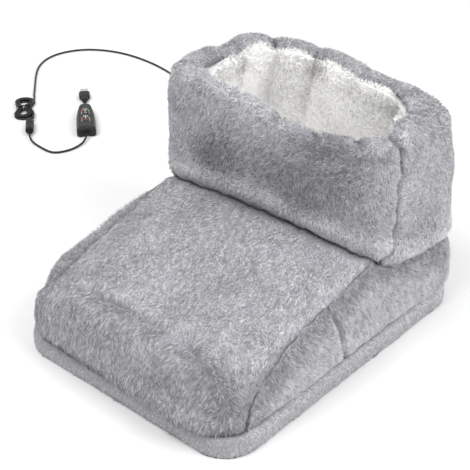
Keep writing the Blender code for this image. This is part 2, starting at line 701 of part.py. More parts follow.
def make_sole():
    """The gripping sole fabric, the plush edge band, the foam, the felt and its heating wire, the insole."""
    skin = rounded_outline(
        HALF_WIDTH - SOLE_SKIN_SET_IN, TOE_Y + SOLE_SKIN_SET_IN, HEEL_Y - SOLE_SKIN_SET_IN,
        SOLE_CORNER_RADIUS - SOLE_SKIN_SET_IN, 6,
    )
    prism("sole_bottom", [p for p, _ in skin], 0, SOLE_SKIN_THICKNESS, "sole_fabric")
    low = SOLE_SKIN_THICKNESS + FIT_GAP
    # The band's face, as shares of its width inwards and of its height upwards
    band_shares = ((0.10, 0.037), (0.01, 0.29), (0, 0.464), (0.03, 0.696), (0.13, 0.893), (0.30, 1), (1, 1))
    foot_in = SOLE_SKIN_SET_IN + FIT_GAP
    profile_points = [(BAND_WIDTH, low), (foot_in, low)]
    profile_points += [(BAND_WIDTH * inward, BAND_HEIGHT * up) for inward, up in band_shares]
    sections = []
    for p, out in rounded_outline(HALF_WIDTH, TOE_Y, HEEL_Y, SOLE_CORNER_RADIUS, 6, 3):
        sections.append([Vector((*(p - out * inward), z)) for inward, z in profile_points])
    band = swept_solid("sole_edge_band", sections, "grey_plush", True)
    gland_height = (low + BAND_HEIGHT) / 2
    hole_start, hole_end = HEEL_Y - BAND_WIDTH - CUT_OVERRUN, HEEL_Y + CUT_OVERRUN
    hole_radius = GLAND_SHAFT_RADIUS + FIT_GAP
    hole_line = [(hole_start, hole_radius), (hole_end, hole_radius)]
    hole = turned("gland_hole", hole_line, "black_pvc", None, (0, 0, gland_height))
    combine(band, hole, "DIFFERENCE")

    inset = BAND_WIDTH + FIT_GAP
    foam = [p for p, _ in rounded_outline(
        HALF_WIDTH - inset, TOE_Y + inset, HEEL_Y - inset, SOLE_CORNER_RADIUS - inset, 6,
    )]
    prism("sole_foam", notched(foam, HEEL_Y - inset, HEEL_Y - inset - NOTCH_LENGTH), low, BAND_HEIGHT, "foam")

    pad = [p for p, _ in rounded_outline(
        PAD_HALF_WIDTH, TOE_Y + PAD_TOE_SETBACK, HEEL_Y - PAD_HEEL_SETBACK, PAD_CORNER_RADIUS, 6,
    )]
    felt_low = BAND_HEIGHT + FIT_GAP
    felt_high = felt_low + FELT_THICKNESS
    pad_end = HEEL_Y - PAD_HEEL_SETBACK
    notch_end = HEEL_Y - inset - NOTCH_LENGTH
    prism("heating_pad_felt", notched(pad, pad_end, notch_end), felt_low, felt_high, "felt")
    wire_height = felt_high + FIT_GAP + WIRE_DIAMETER / 2
    make_wire(wire_height, gland_height, notch_end, pad_end)
    make_insole(wire_height + WIRE_DIAMETER / 2 + FIT_GAP)
    make_gland(gland_height, notch_end)


def notched(outline, edge_y, end_y):
    """An outline with the wiring notch cut into its heel end."""
    half = NOTCH_WIDTH / 2
    kept = [p for p in outline]
    for k, p in enumerate(kept):
        n = kept[(k + 1) % len(kept)]
        if abs(p[1] - edge_y) < FIT_GAP and abs(n[1] - edge_y) < FIT_GAP and p[0] > half and n[0] < -half:
            cut = ((half, edge_y), (half, end_y), (-half, end_y), (-half, edge_y))
            return kept[:k + 1] + [Vector(p) for p in cut] + kept[k + 1:]
    return kept


def make_wire(height, notch_height, notch_end, pad_end):
    """The heating wire: down the left edge, to and fro across the felt from toe to heel, and back."""
    left, right = -PAD_HALF_WIDTH + WIRE_EDGE, PAD_HALF_WIDTH - WIRE_EDGE
    toe = TOE_Y + PAD_TOE_SETBACK + WIRE_EDGE
    aside = NOTCH_WIDTH / 5
    bend = WIRE_PITCH / 2
    rows = int((notch_end - 2 * bend - toe) / WIRE_PITCH)
    rows -= rows % 2 == 0
    inner_left = left + WIRE_PITCH
    top = toe + WIRE_PITCH * rows
    dive_shares = ((1, 1), (0.85, 1), (0.6, 0.7), (0.4, 0.3), (0.15, 0), (-0.5, 0))
    drop = notch_height - height
    start = [(notch_end + bend * along, height + drop * down) for along, down in dive_shares]
    points = [Vector((-aside, y, z)) for y, z in start]
    points += arc((-aside - bend, notch_end - bend / 2), bend, 0, -90, height)
    points += arc((left + bend, notch_end - bend * 1.5 - bend), bend, 90, 180, height)
    points += arc((left + bend, toe + bend), bend, 180, 270, height)
    for row in range(rows):
        y = toe + WIRE_PITCH * row
        if row % 2 == 0:
            points += arc((right - bend, y + bend), bend, -90, 90, height)
        else:
            points += arc((inner_left + bend, y + bend), bend, -90, -270, height)
    end_y = toe + WIRE_PITCH * rows
    points += [Vector((inner_left + bend * 2, end_y, height))] if rows % 2 == 0 else []
    points += arc((aside + bend, end_y + bend), bend, -90, -180, height)
    points += [Vector((aside, y, z)) for y, z in reversed(start)]
    tube("heating_wire", points, WIRE_DIAMETER, "silicone_wire", 1)


def arc(centre, radius, start, end, height, steps=3):
    found = []
    for k in range(steps + 1):
        turn = math.radians(start + (end - start) * k / steps)
        x, y = centre[0] + radius * math.cos(turn), centre[1] + radius * math.sin(turn)
        found.append(Vector((x, y, height)))
    return found


def make_insole(low):
    """A crowned insole pad with drawn-in sides."""
    rings = []
    middle_y = (TOE_Y + PAD_TOE_SETBACK + HEEL_Y - PAD_HEEL_SETBACK) / 2
    outline = rounded_outline(
        PAD_HALF_WIDTH, TOE_Y + PAD_TOE_SETBACK, HEEL_Y - PAD_HEEL_SETBACK, PAD_CORNER_RADIUS, 5, 3,
    )
    # Shares of the way in to the middle, and of the thickness
    section_shares = ((0.05, 0), (0, 0.30), (0, 0.62), (0.03, 0.90), (0.10, 1))
    levels = [(share, low + INSOLE_THICKNESS * up) for share, up in section_shares]
    for share in (0.35, 0.65):
        lift = INSOLE_CROWN * math.sin(math.radians(90 * share))
        levels.append((share, low + INSOLE_THICKNESS + lift))
    for share, height in levels:
        keep = 1 - share
        rings.append([Vector((p[0] * keep, middle_y + (p[1] - middle_y) * keep, height)) for p, _ in outline])
    count = len(outline)
    points = [p for ring in rings for p in ring]
    points.append(Vector((0, middle_y, low + INSOLE_THICKNESS + INSOLE_CROWN)))
    faces = [tuple(range(count))]
    for i in range(len(rings) - 1):
        for j in range(count):
            k = (j + 1) % count
            faces.append((i * count + j, i * count + k, (i + 1) * count + k, (i + 1) * count + j))
    last = (len(rings) - 1) * count
    faces += [(last + j, last + (j + 1) % count, len(points) - 1) for j in range(count)]
    add("insole_pad", mesh_of("insole_pad", points, faces), "white_sherpa")


def make_gland(height, notch_end):
    """The lead's strain relief in the band, and what the lead joins in the foam's notch."""
    inside = HEEL_Y - BAND_WIDTH
    flange = GLAND_FLANGE_THICKNESS
    face = HEEL_Y + FIT_GAP
    tip = face + flange + GLAND_TAPER_LENGTH
    outline = [
        (inside - FIT_GAP - flange, GLAND_FLANGE_RADIUS), (inside - FIT_GAP, GLAND_FLANGE_RADIUS),
        (inside - FIT_GAP, GLAND_SHAFT_RADIUS), (face, GLAND_SHAFT_RADIUS),
        (face, GLAND_FLANGE_RADIUS), (face + flange, GLAND_FLANGE_RADIUS),
    ]
    ribs = 4
    for k in range(ribs):
        radius = GLAND_SHAFT_RADIUS + (GLAND_TIP_RADIUS - GLAND_SHAFT_RADIUS) * k / ribs
        groove = radius * 0.8
        start = face + flange + GLAND_TAPER_LENGTH * k / ribs
        step = GLAND_TAPER_LENGTH / ribs
        ridge = start + step * 0.3
        outline += [(start, groove), (ridge, groove), (ridge, radius), (start + step, radius)]
    outline[-1] = (tip, GLAND_TIP_RADIUS)
    turned("lead_gland", outline, "black_pvc", None, (0, 0, height), steps=SMALL_ROUND)
    inner_start = inside - FIT_GAP - flange - FIT_GAP
    splice_start = notch_end + WIRE_PITCH / 2 + FIT_GAP
    half = NOTCH_WIDTH / 5
    block = [
        Vector((x, y)) for x, y in (
            (-half - THERMOSTAT_WIDTH / 2, splice_start), (half + THERMOSTAT_WIDTH / 2, splice_start),
            (half + THERMOSTAT_WIDTH / 2, inner_start - FIT_GAP - CORD_DIAMETER),
            (-half - THERMOSTAT_WIDTH / 2, inner_start - FIT_GAP - CORD_DIAMETER),
        )
    ]
    prism("thermostat", block, height - THERMOSTAT_HEIGHT / 2, height + THERMOSTAT_HEIGHT / 2, "white_nylon")
    tube(
        "inner_lead",
        [Vector((0, inner_start, height)), Vector((0, inner_start - CORD_DIAMETER, height))],
        CORD_DIAMETER, "black_pvc",
    )


def laid(points):
    """Points of the cord group's own frame, in the world's."""
    turn = Matrix.Rotation(LAY_ANGLE, 4, "Z")
    return [turn @ Vector(p) + Vector((LAY_X, LAY_Y, 0)) for p in points]


def hank_half_width(y):
    """Half the width of the hank's outermost turn, y from its waist."""
    waist = (HANK_WAIST_WIDTH - CORD_DIAMETER) / 2
    lobe = (HANK_LOBE_WIDTH - CORD_DIAMETER) / 2
    reach = min(abs(y) / hank_run_half(), 1)
    return lobe - (lobe - waist) * (1 + math.cos(math.pi * reach)) / 2


def hank_run_half():
    return (HANK_LENGTH - HANK_LOBE_WIDTH) / 2


def hank_points(low_y):
    """The hank's turns, from the end that the boot's lead joins to the end nearer the socket.

    Two layers of nested turns: the first winds inwards and climbs along a run, and the second winds out.
    """
    half = hank_run_half()
    lobe = (HANK_LOBE_WIDTH - CORD_DIAMETER) / 2
    middle = low_y + HANK_LENGTH / 2
    points = []
    turns = HANK_LOOPS // 2
    for n in range(2 * HANK_LOOPS + 1):
        side = 1 if n % 2 == 0 else -1
        step = n if n <= 2 * turns else 4 * turns - n
        inset = HANK_PITCH * step / 2
        upper = n > 2 * turns
        for k in range(RUN_POINTS + 1):
            share = k / RUN_POINTS
            y = side * half * (1 - 2 * share)
            climb = share * share * (3 - 2 * share) if n == 2 * turns else float(upper)
            points.append((side * (hank_half_width(y) - inset), y, climb))
        if n == 2 * HANK_LOOPS:
            break
        following = n + 1 if n + 1 <= 2 * turns else 4 * turns - n - 1
        for k in range(1, FOLD_POINTS):
            share = k / FOLD_POINTS
            radius = lobe - inset + (inset - HANK_PITCH * following / 2) * share
            turn = math.pi * share
            points.append((side * radius * math.cos(turn), -side * (half + radius * math.sin(turn)), climb))
    lift = lambda y: HANK_WAIST_LIFT * max(0, math.cos(math.pi / 2 * min(abs(y) / (half / 2), 1)))
    placed = [
        Vector((x - HANK_ASIDE, middle + y, CORD_DIAMETER / 2 + HANK_LAYER * climb + lift(y)))
        for x, y, climb in points
    ]
    start = placed[0] + Vector((0, CORD_DIAMETER * 2, 0))
    end = placed[-1] - Vector((0, lobe + CORD_DIAMETER, 0))
    return [start] + placed + [end]


def own_gap(points, diameter):
    """The least gap between two stretches of one cord, measured on points of its line."""
    fine, far = [], [0.0]
    for a, b in zip(points, points[1:]):
        steps = max(int((b - a).length / (diameter / 4)), 1)
        fine += [a.lerp(b, k / steps) for k in range(steps)]
    for a, b in zip(fine, fine[1:]):
        far.append(far[-1] + (b - a).length)
    least = 1.0
    for i, a in enumerate(fine):
        for j in range(i + 1, len(fine)):
            if far[j] - far[i] > 3 * diameter:
                least = min(least, (fine[j] - a).length)
    return least - diameter


def make_lead_and_hank():
    """The boot's lead to the hank, the hank with its tie, and the short lead on to the socket."""
    socket_end = RING_THICKNESS + 2 * FIT_GAP + SOCKET_LENGTH
    hank_low = socket_end + HANK_CLEAR
    turns = hank_points(hank_low)
    tube("cord_hank", laid(turns), CORD_DIAMETER, "black_pvc", 1)
    print("hank: %.3f m of cord" % route_length(turns))
    print("least gap of the hank to itself: %.2f mm" % (1000 * own_gap(turns, CORD_DIAMETER)))

    gland_height = (SOLE_SKIN_THICKNESS + FIT_GAP + BAND_HEIGHT) / 2
    exit_y = HEEL_Y + 2 * FIT_GAP + GLAND_FLANGE_THICKNESS + GLAND_TAPER_LENGTH
    start = Vector((0, exit_y, gland_height))
    steps_in = (2.1 * HANK_LEAD_IN, HANK_LEAD_IN, CORD_DIAMETER + FIT_GAP, FIT_GAP)
    join = laid([turns[0] + Vector((0, back, 0)) for back in steps_in])
    lead = smooth_route([start] + [Vector(p) for p in LEAD_ROUTE] + join, 78)
    lead[0], lead[-1] = start, join[-1]
    tube("boot_lead", lead, CORD_DIAMETER, "black_pvc")
    print("boot lead: %.3f m to the hank" % route_length(lead))

    socket_face = Vector((0, socket_end + FIT_GAP, CONNECTOR_RADIUS))
    out = turns[-1]
    route = [
        out - Vector((0, FIT_GAP, 0)), out - Vector((0, CORD_DIAMETER, 0)),
        (out + socket_face) / 2,
        socket_face + Vector((0, CORD_DIAMETER, 0)), socket_face,
    ]
    short = smooth_route([Vector(p) for p in route], 10)
    tube("socket_lead", laid(short), CORD_DIAMETER, "black_pvc")
    make_tie(hank_low + HANK_LENGTH / 2)
    return route_length(lead) + route_length(turns) + route_length(short)


def make_tie(middle_y):
    """The twist tie round the hank's waist, and its twisted end."""
    low = HANK_WAIST_LIFT - FIT_GAP
    high = HANK_WAIST_LIFT + CORD_DIAMETER + HANK_LAYER + FIT_GAP
    half = HANK_WAIST_WIDTH / 2 + TIE_EASE
    corner = CORD_DIAMETER / 2
    outline = rounded_outline(half, low, high, corner, 5, 3)
    sections = []
    for p, out in outline:
        section = []
        for side, thick in ((-1, 0), (-1, 1), (1, 1), (1, 0)):
            spot = p + out * TIE_THICKNESS * thick
            section.append(Vector((spot[0] - HANK_ASIDE, middle_y + side * TIE_WIDTH / 2, spot[1])))
        sections.append(laid(section))
    swept_solid("hank_tie", sections, "black_pvc", True)
    twist_height = high + TIE_THICKNESS + FIT_GAP + TWIST_RADIUS
    foot = Vector((TWIST_LENGTH / 4 - HANK_ASIDE, middle_y, twist_height))
    bend = foot + Vector((TWIST_LENGTH / 2, TWIST_LENGTH / 8, 0))
    twist = [foot, bend, foot + Vector((TWIST_LENGTH, 0, 0))]
    tube("hank_tie_twist", laid(smooth_route(twist, 6)), 2 * TWIST_RADIUS, "black_pvc", 1)


def make_connector(group, plug_group):
    """The socket with its pin, and the plug with its silver barrel."""
    axis = (0, 0, CONNECTOR_RADIUS)
    radius, shoulder = CONNECTOR_RADIUS, CONNECTOR_SHOULDER
    face = RING_THICKNESS + 2 * FIT_GAP
    end = face + SOCKET_LENGTH
    bore_end = face + SOCKET_BORE_DEPTH
    turned("socket_body", [
        (bore_end, FIT_GAP), (bore_end, SOCKET_BORE_RADIUS), (face, SOCKET_BORE_RADIUS),
        (face, radius - FIT_GAP), (face + FIT_GAP, radius), (end - shoulder, radius),
        (end - shoulder * 0.45, radius * 0.93),
        (end - shoulder * 0.12, radius * 0.76), (end, radius * 0.5), (end, FIT_GAP),
    ], "black_pvc", group, axis)
    pin_end = bore_end - FIT_GAP
    turned("socket_pin", [
        (pin_end, SOCKET_PIN_RADIUS), (pin_end - SOCKET_PIN_LENGTH + SOCKET_PIN_RADIUS, SOCKET_PIN_RADIUS),
        (pin_end - SOCKET_PIN_LENGTH, SOCKET_PIN_RADIUS / 2),
    ], "nickel", group, axis, steps=SMALL_ROUND)
    tip = FIT_GAP + RING_THICKNESS + BARREL_LENGTH
    turned("plug_barrel", [
        (-BARREL_ROOT, BARREL_BORE_RADIUS), (-BARREL_ROOT, BARREL_RADIUS), (FIT_GAP, BARREL_RADIUS),
        (FIT_GAP, RING_RADIUS), (FIT_GAP + RING_THICKNESS, RING_RADIUS),
        (FIT_GAP + RING_THICKNESS, BARREL_RADIUS),
        (tip - FIT_GAP, BARREL_RADIUS), (tip, BARREL_RADIUS - FIT_GAP), (tip, BARREL_BORE_RADIUS),
        (-BARREL_ROOT, BARREL_BORE_RADIUS),
    ], "nickel", plug_group, axis)
    seat = BARREL_RADIUS + FIT_GAP
    back = -PLUG_LENGTH
    relief = [(back, PLUG_RELIEF_RADIUS)]
    ribs = 2
    rib = PLUG_RELIEF_LENGTH / ribs
    for k in range(ribs):
        start = back - rib * k
        relief += [
            (start, PLUG_RELIEF_RADIUS * 0.75), (start - rib * 0.4, PLUG_RELIEF_RADIUS * 0.75),
            (start - rib * 0.4, PLUG_RELIEF_RADIUS), (start - rib, PLUG_RELIEF_RADIUS),
        ]
    turned("plug_body", [
        (-BARREL_ROOT - FIT_GAP, FIT_GAP), (-BARREL_ROOT - FIT_GAP, seat), (0, seat), (0, radius - FIT_GAP),
        (-FIT_GAP, radius), (back + shoulder, radius), (back + shoulder * 0.4, radius * 0.92),
        (back, radius * 0.72),
    ] + relief[1:], "black_pvc", plug_group, axis)


def half_width_at(y):
    """Half the controller's width, y from its cord end."""
    start = CONTROLLER_LENGTH * CONTROLLER_TAPER_START_SHARE
    share = max(0.0, (y - start) / (CONTROLLER_LENGTH - start))
    return (CONTROLLER_WIDTH - (CONTROLLER_WIDTH - CONTROLLER_TOP_WIDTH) * share ** 2) / 2


def controller_outline(inset):
    """The controller's outline set in by this much, from the middle of the notch at its cord end."""
    half = []
    low_corner = max(CONTROLLER_CORNER - inset, FIT_GAP)
    top_corner = max(CONTROLLER_TOP_CORNER - inset, FIT_GAP)
    notch_half = NOTCH_HALF - inset / 2
    for k in range(4):
        x = notch_half * k / 3
        half.append(Vector((x, inset + NOTCH_DEPTH * (1 + math.cos(math.pi * k / 3)) / 2)))
    centre = Vector((half_width_at(0) - inset - low_corner, inset + low_corner))
    for k in range(5):
        turn = math.radians(-90 + 90 * k / 4)
        half.append(centre + low_corner * Vector((math.cos(turn), math.sin(turn))))
    start, end = centre[1], CONTROLLER_LENGTH - inset - top_corner
    for k in range(1, 7):
        y = start + (end - start) * k / 6
        half.append(Vector((half_width_at(y) - inset, y)))
    centre = Vector((half_width_at(end) - inset - top_corner, end))
    for k in range(1, 6):
        turn = math.radians(90 * k / 5)
        half.append(centre + top_corner * Vector((math.cos(turn), math.sin(turn))))
    middle = Vector((0, CONTROLLER_LENGTH - inset))
    return half + [middle] + [Vector((-p[0], p[1])) for p in half[:0:-1]]


def controller_rings(levels):
    return [[Vector((*p, z)) for p in controller_outline(inset)] for z, inset in levels]


def round_cutter(name, x, y, low, high, radius, parent, place, steps=ROUND):
    at = (place[0] + x, place[1] + y, place[2])
    return turned(name, [(low, radius), (high, radius)], "black_abs", parent, at, "Z", steps)


def square(half_x, half_y):
    return [Vector(p) for p in ((-half_x, -half_y), (half_x, -half_y), (half_x, half_y), (-half_x, half_y))]


def make_controller(group):
    """The controller's two shells, face label, buttons, light bars, board, switches and screws."""
    spot = Vector((CONTROLLER_ASIDE, -CONTROLLER_BACK, 0))
    split, wall = CONTROLLER_SPLIT, CONTROLLER_WALL
    board_low = BOARD_TOP - BOARD_THICKNESS
    ledge = board_low - FIT_GAP
    bottom = swept_solid("controller_bottom_shell", controller_rings((
        (0, FOOT_SET_IN), (wall / 6, FOOT_SET_IN / 2), (wall / 2, FOOT_SET_IN / 5), (split / 2, 0),
        (split, 0), (split, wall), (ledge, wall), (ledge, wall + BOARD_LEDGE), (wall, wall + BOARD_LEDGE),
    )), "black_abs", False, group, spot)
    recess = CONTROLLER_HEIGHT - LABEL_THICKNESS - FIT_GAP
    ceiling = recess - wall
    low = split + FIT_GAP
    dome = CONTROLLER_HEIGHT - low
    top = swept_solid("controller_top_shell", controller_rings((
        (ceiling, SHOULDER + wall / 2), (ceiling - wall / 2, wall * 1.4), (low, wall), (low, 0),
        (low + dome * 0.32, SHOULDER * 0.05), (low + dome * 0.62, SHOULDER * 0.24),
        (low + dome * 0.84, SHOULDER * 0.52), (low + dome * 0.96, SHOULDER * 0.82),
        (CONTROLLER_HEIGHT, SHOULDER), (CONTROLLER_HEIGHT, SHOULDER + LABEL_MARGIN),
        (recess, SHOULDER + LABEL_MARGIN),
    )), "black_abs", False, group, spot)
    label_low = recess + FIT_GAP
    label = swept_solid("controller_label", controller_rings((
        (label_low, SHOULDER + LABEL_MARGIN + FIT_GAP),
        (CONTROLLER_HEIGHT, SHOULDER + LABEL_MARGIN + FIT_GAP),
    )), "label_film", False, group, spot)

    bosses = {"near": NOTCH_DEPTH + SCREW_END_DISTANCE, "far": CONTROLLER_LENGTH - SCREW_END_DISTANCE}
    boss_low = wall + FIT_GAP
    for name, y in bosses.items():
        boss = round_cutter("boss_" + name, 0, y, boss_low, recess - wall / 2,
                            BOSS_RADIUS, group, spot, SMALL_ROUND)
        combine(top, boss, "UNION")
        bite = round_cutter("bite_" + name, 0, y, boss_low - CUT_OVERRUN, boss_low + SCREW_BITE + FIT_GAP,
                            SCREW_RADIUS + FIT_GAP, group, spot, SMALL_ROUND)
        combine(top, bite, "DIFFERENCE")
        hole = turned("screw_hole_" + name, [
            (-CUT_OVERRUN, SCREW_HEAD_RADIUS + FIT_GAP),
            (SCREW_HEAD_HEIGHT + FIT_GAP, SCREW_HEAD_RADIUS + FIT_GAP),
            (SCREW_HEAD_HEIGHT + FIT_GAP, SCREW_RADIUS + FIT_GAP),
            (wall + CUT_OVERRUN, SCREW_RADIUS + FIT_GAP),
        ], "black_abs", group, spot + Vector((0, y, 0)), "Z", SMALL_ROUND)
        combine(bottom, hole, "DIFFERENCE")
        turned("controller_screw_" + name, [
            (FIT_GAP / 2, SCREW_HEAD_RADIUS * 0.5), (FIT_GAP / 2, SCREW_HEAD_RADIUS * 0.9),
            (SCREW_HEAD_HEIGHT, SCREW_HEAD_RADIUS), (SCREW_HEAD_HEIGHT, SCREW_RADIUS),
            (boss_low + SCREW_BITE - SCREW_RADIUS, SCREW_RADIUS), (boss_low + SCREW_BITE, SCREW_RADIUS / 2),
        ], "nickel", group, spot + Vector((0, y, 0)), "Z", SMALL_ROUND)

    cord_height = split + FIT_GAP / 2
    for name, start, end in (
        ("cord_hole", -CUT_OVERRUN, NOTCH_DEPTH + CORD_CLAMP_DEPTH + FIT_GAP),
        ("usb_cord_hole", CONTROLLER_LENGTH - CORD_CLAMP_DEPTH - FIT_GAP, CONTROLLER_LENGTH + CUT_OVERRUN),
    ):
        radius = CORD_DIAMETER / 2 + FIT_GAP
        hole_spot = spot + Vector((0, 0, cord_height))
        hole = turned(name, [(start, radius), (end, radius)], "black_abs", group, hole_spot)
        combine(bottom, hole, "DIFFERENCE")
        combine(top, hole, "DIFFERENCE")

    half_end = CONTROLLER_LENGTH - BOARD_END
    board = []
    for k in range(9):
        y = BOARD_END + NOTCH_DEPTH + (half_end - BOARD_END - NOTCH_DEPTH) * k / 8
        board.append(Vector((half_width_at(y) - BOARD_SET_IN, y)))
    prism("circuit_board", board + [Vector((-p[0], p[1])) for p in reversed(board)], board_low, BOARD_TOP,
          "circuit_board", group, spot)

    switch_low = BOARD_TOP + FIT_GAP
    switch_high = switch_low + SWITCH_HEIGHT
    collar_low = switch_high + FIT_GAP + BUTTON_TRAVEL
    collar_high = ceiling - FIT_GAP
    cut_low, cut_high = ceiling - CUT_OVERRUN, CONTROLLER_HEIGHT + CUT_OVERRUN
    for name, down, lights_down in (
        ("timer", TIMER_BUTTON_DOWN, TIMER_LIGHTS_DOWN), ("heat", HEAT_BUTTON_DOWN, HEAT_LIGHTS_DOWN),
    ):
        y = CONTROLLER_LENGTH - down
        size = SWITCH_SIZE / 2
        prism(name + "_switch", square(size, size), switch_low, switch_high, "black_abs", group,
              spot + Vector((0, y, 0)))
        hole = round_cutter(name + "_button_hole", 0, y, cut_low, cut_high, BUTTON_RADIUS + FIT_GAP, group, spot)
        combine(top, hole, "DIFFERENCE")
        combine(label, hole, "DIFFERENCE")
        head = CONTROLLER_HEIGHT + BUTTON_PROUD
        turned(name + "_button", [
            (collar_low, BUTTON_RADIUS + BUTTON_COLLAR_WIDTH),
            (collar_high, BUTTON_RADIUS + BUTTON_COLLAR_WIDTH),
            (collar_high, BUTTON_RADIUS), (head - FIT_GAP, BUTTON_RADIUS), (head, BUTTON_RADIUS - FIT_GAP),
        ], "button_rubber", group, spot + Vector((0, y, 0)), "Z")
        light_y = CONTROLLER_LENGTH - lights_down
        across = LIGHT_SPACING + LIGHT_BAR_WIDTH / 2
        deep = LIGHT_BAR_WIDTH / 2
        bar_high = ceiling - FIT_GAP
        bar = prism(name + "_lights", square(across, deep), bar_high - LIGHT_BAR_THICKNESS, bar_high,
                    "light_bar", group, spot + Vector((0, light_y, 0)))
        for k in (-1, 0, 1):
            x = LIGHT_SPACING * k
            tag = "%s_light_%d" % (name, k + 2)
            lens = round_cutter(tag, x, light_y, bar_high - LIGHT_BAR_THICKNESS / 2, CONTROLLER_HEIGHT,
                                LIGHT_RADIUS, group, spot, SMALL_ROUND)
            combine(bar, lens, "UNION")
            hole = round_cutter(tag + "_hole", x, light_y, cut_low, cut_high,
                                LIGHT_RADIUS + FIT_GAP, group, spot, SMALL_ROUND)
            combine(top, hole, "DIFFERENCE")
            combine(label, hole, "DIFFERENCE")


def make_controller_lead():
    """The lead from the plug to the controller, a U on the floor."""
    floor = CORD_DIAMETER / 2
    start = Vector((0, -PLUG_LENGTH - PLUG_RELIEF_LENGTH - FIT_GAP, CONNECTOR_RADIUS))
    inside = NOTCH_DEPTH + CORD_CLAMP_DEPTH
    end = Vector((CONTROLLER_ASIDE, -CONTROLLER_BACK + inside, CONTROLLER_SPLIT + FIT_GAP / 2))
    wide = CONTROLLER_ASIDE
    fall, rise = start[2] - floor, end[2] - floor
    # Across and back, as shares of the way to the controller, and the height above the floor
    bend_shares = (
        (0.035, 0.52, fall * 0.26), (0.16, 0.74, 0), (0.40, U_DEPTH_SHARE, 0), (0.68, 0.97, 0),
        (0.90, 0.78, rise * 0.18), (0.985, 0.60, rise * 0.67),
    )
    route = [start, start - Vector((0, CORD_DIAMETER * 1.5, 0))]
    route += [Vector((wide * across, -wide * back, floor + up)) for across, back, up in bend_shares]
    route += [end - Vector((0, inside, 0)), end - Vector((0, inside / 2, 0)), end]
    lead = smooth_route(route, 30)
    tube("controller_lead", laid(lead), CORD_DIAMETER, "black_pvc")
    return route_length(lead)


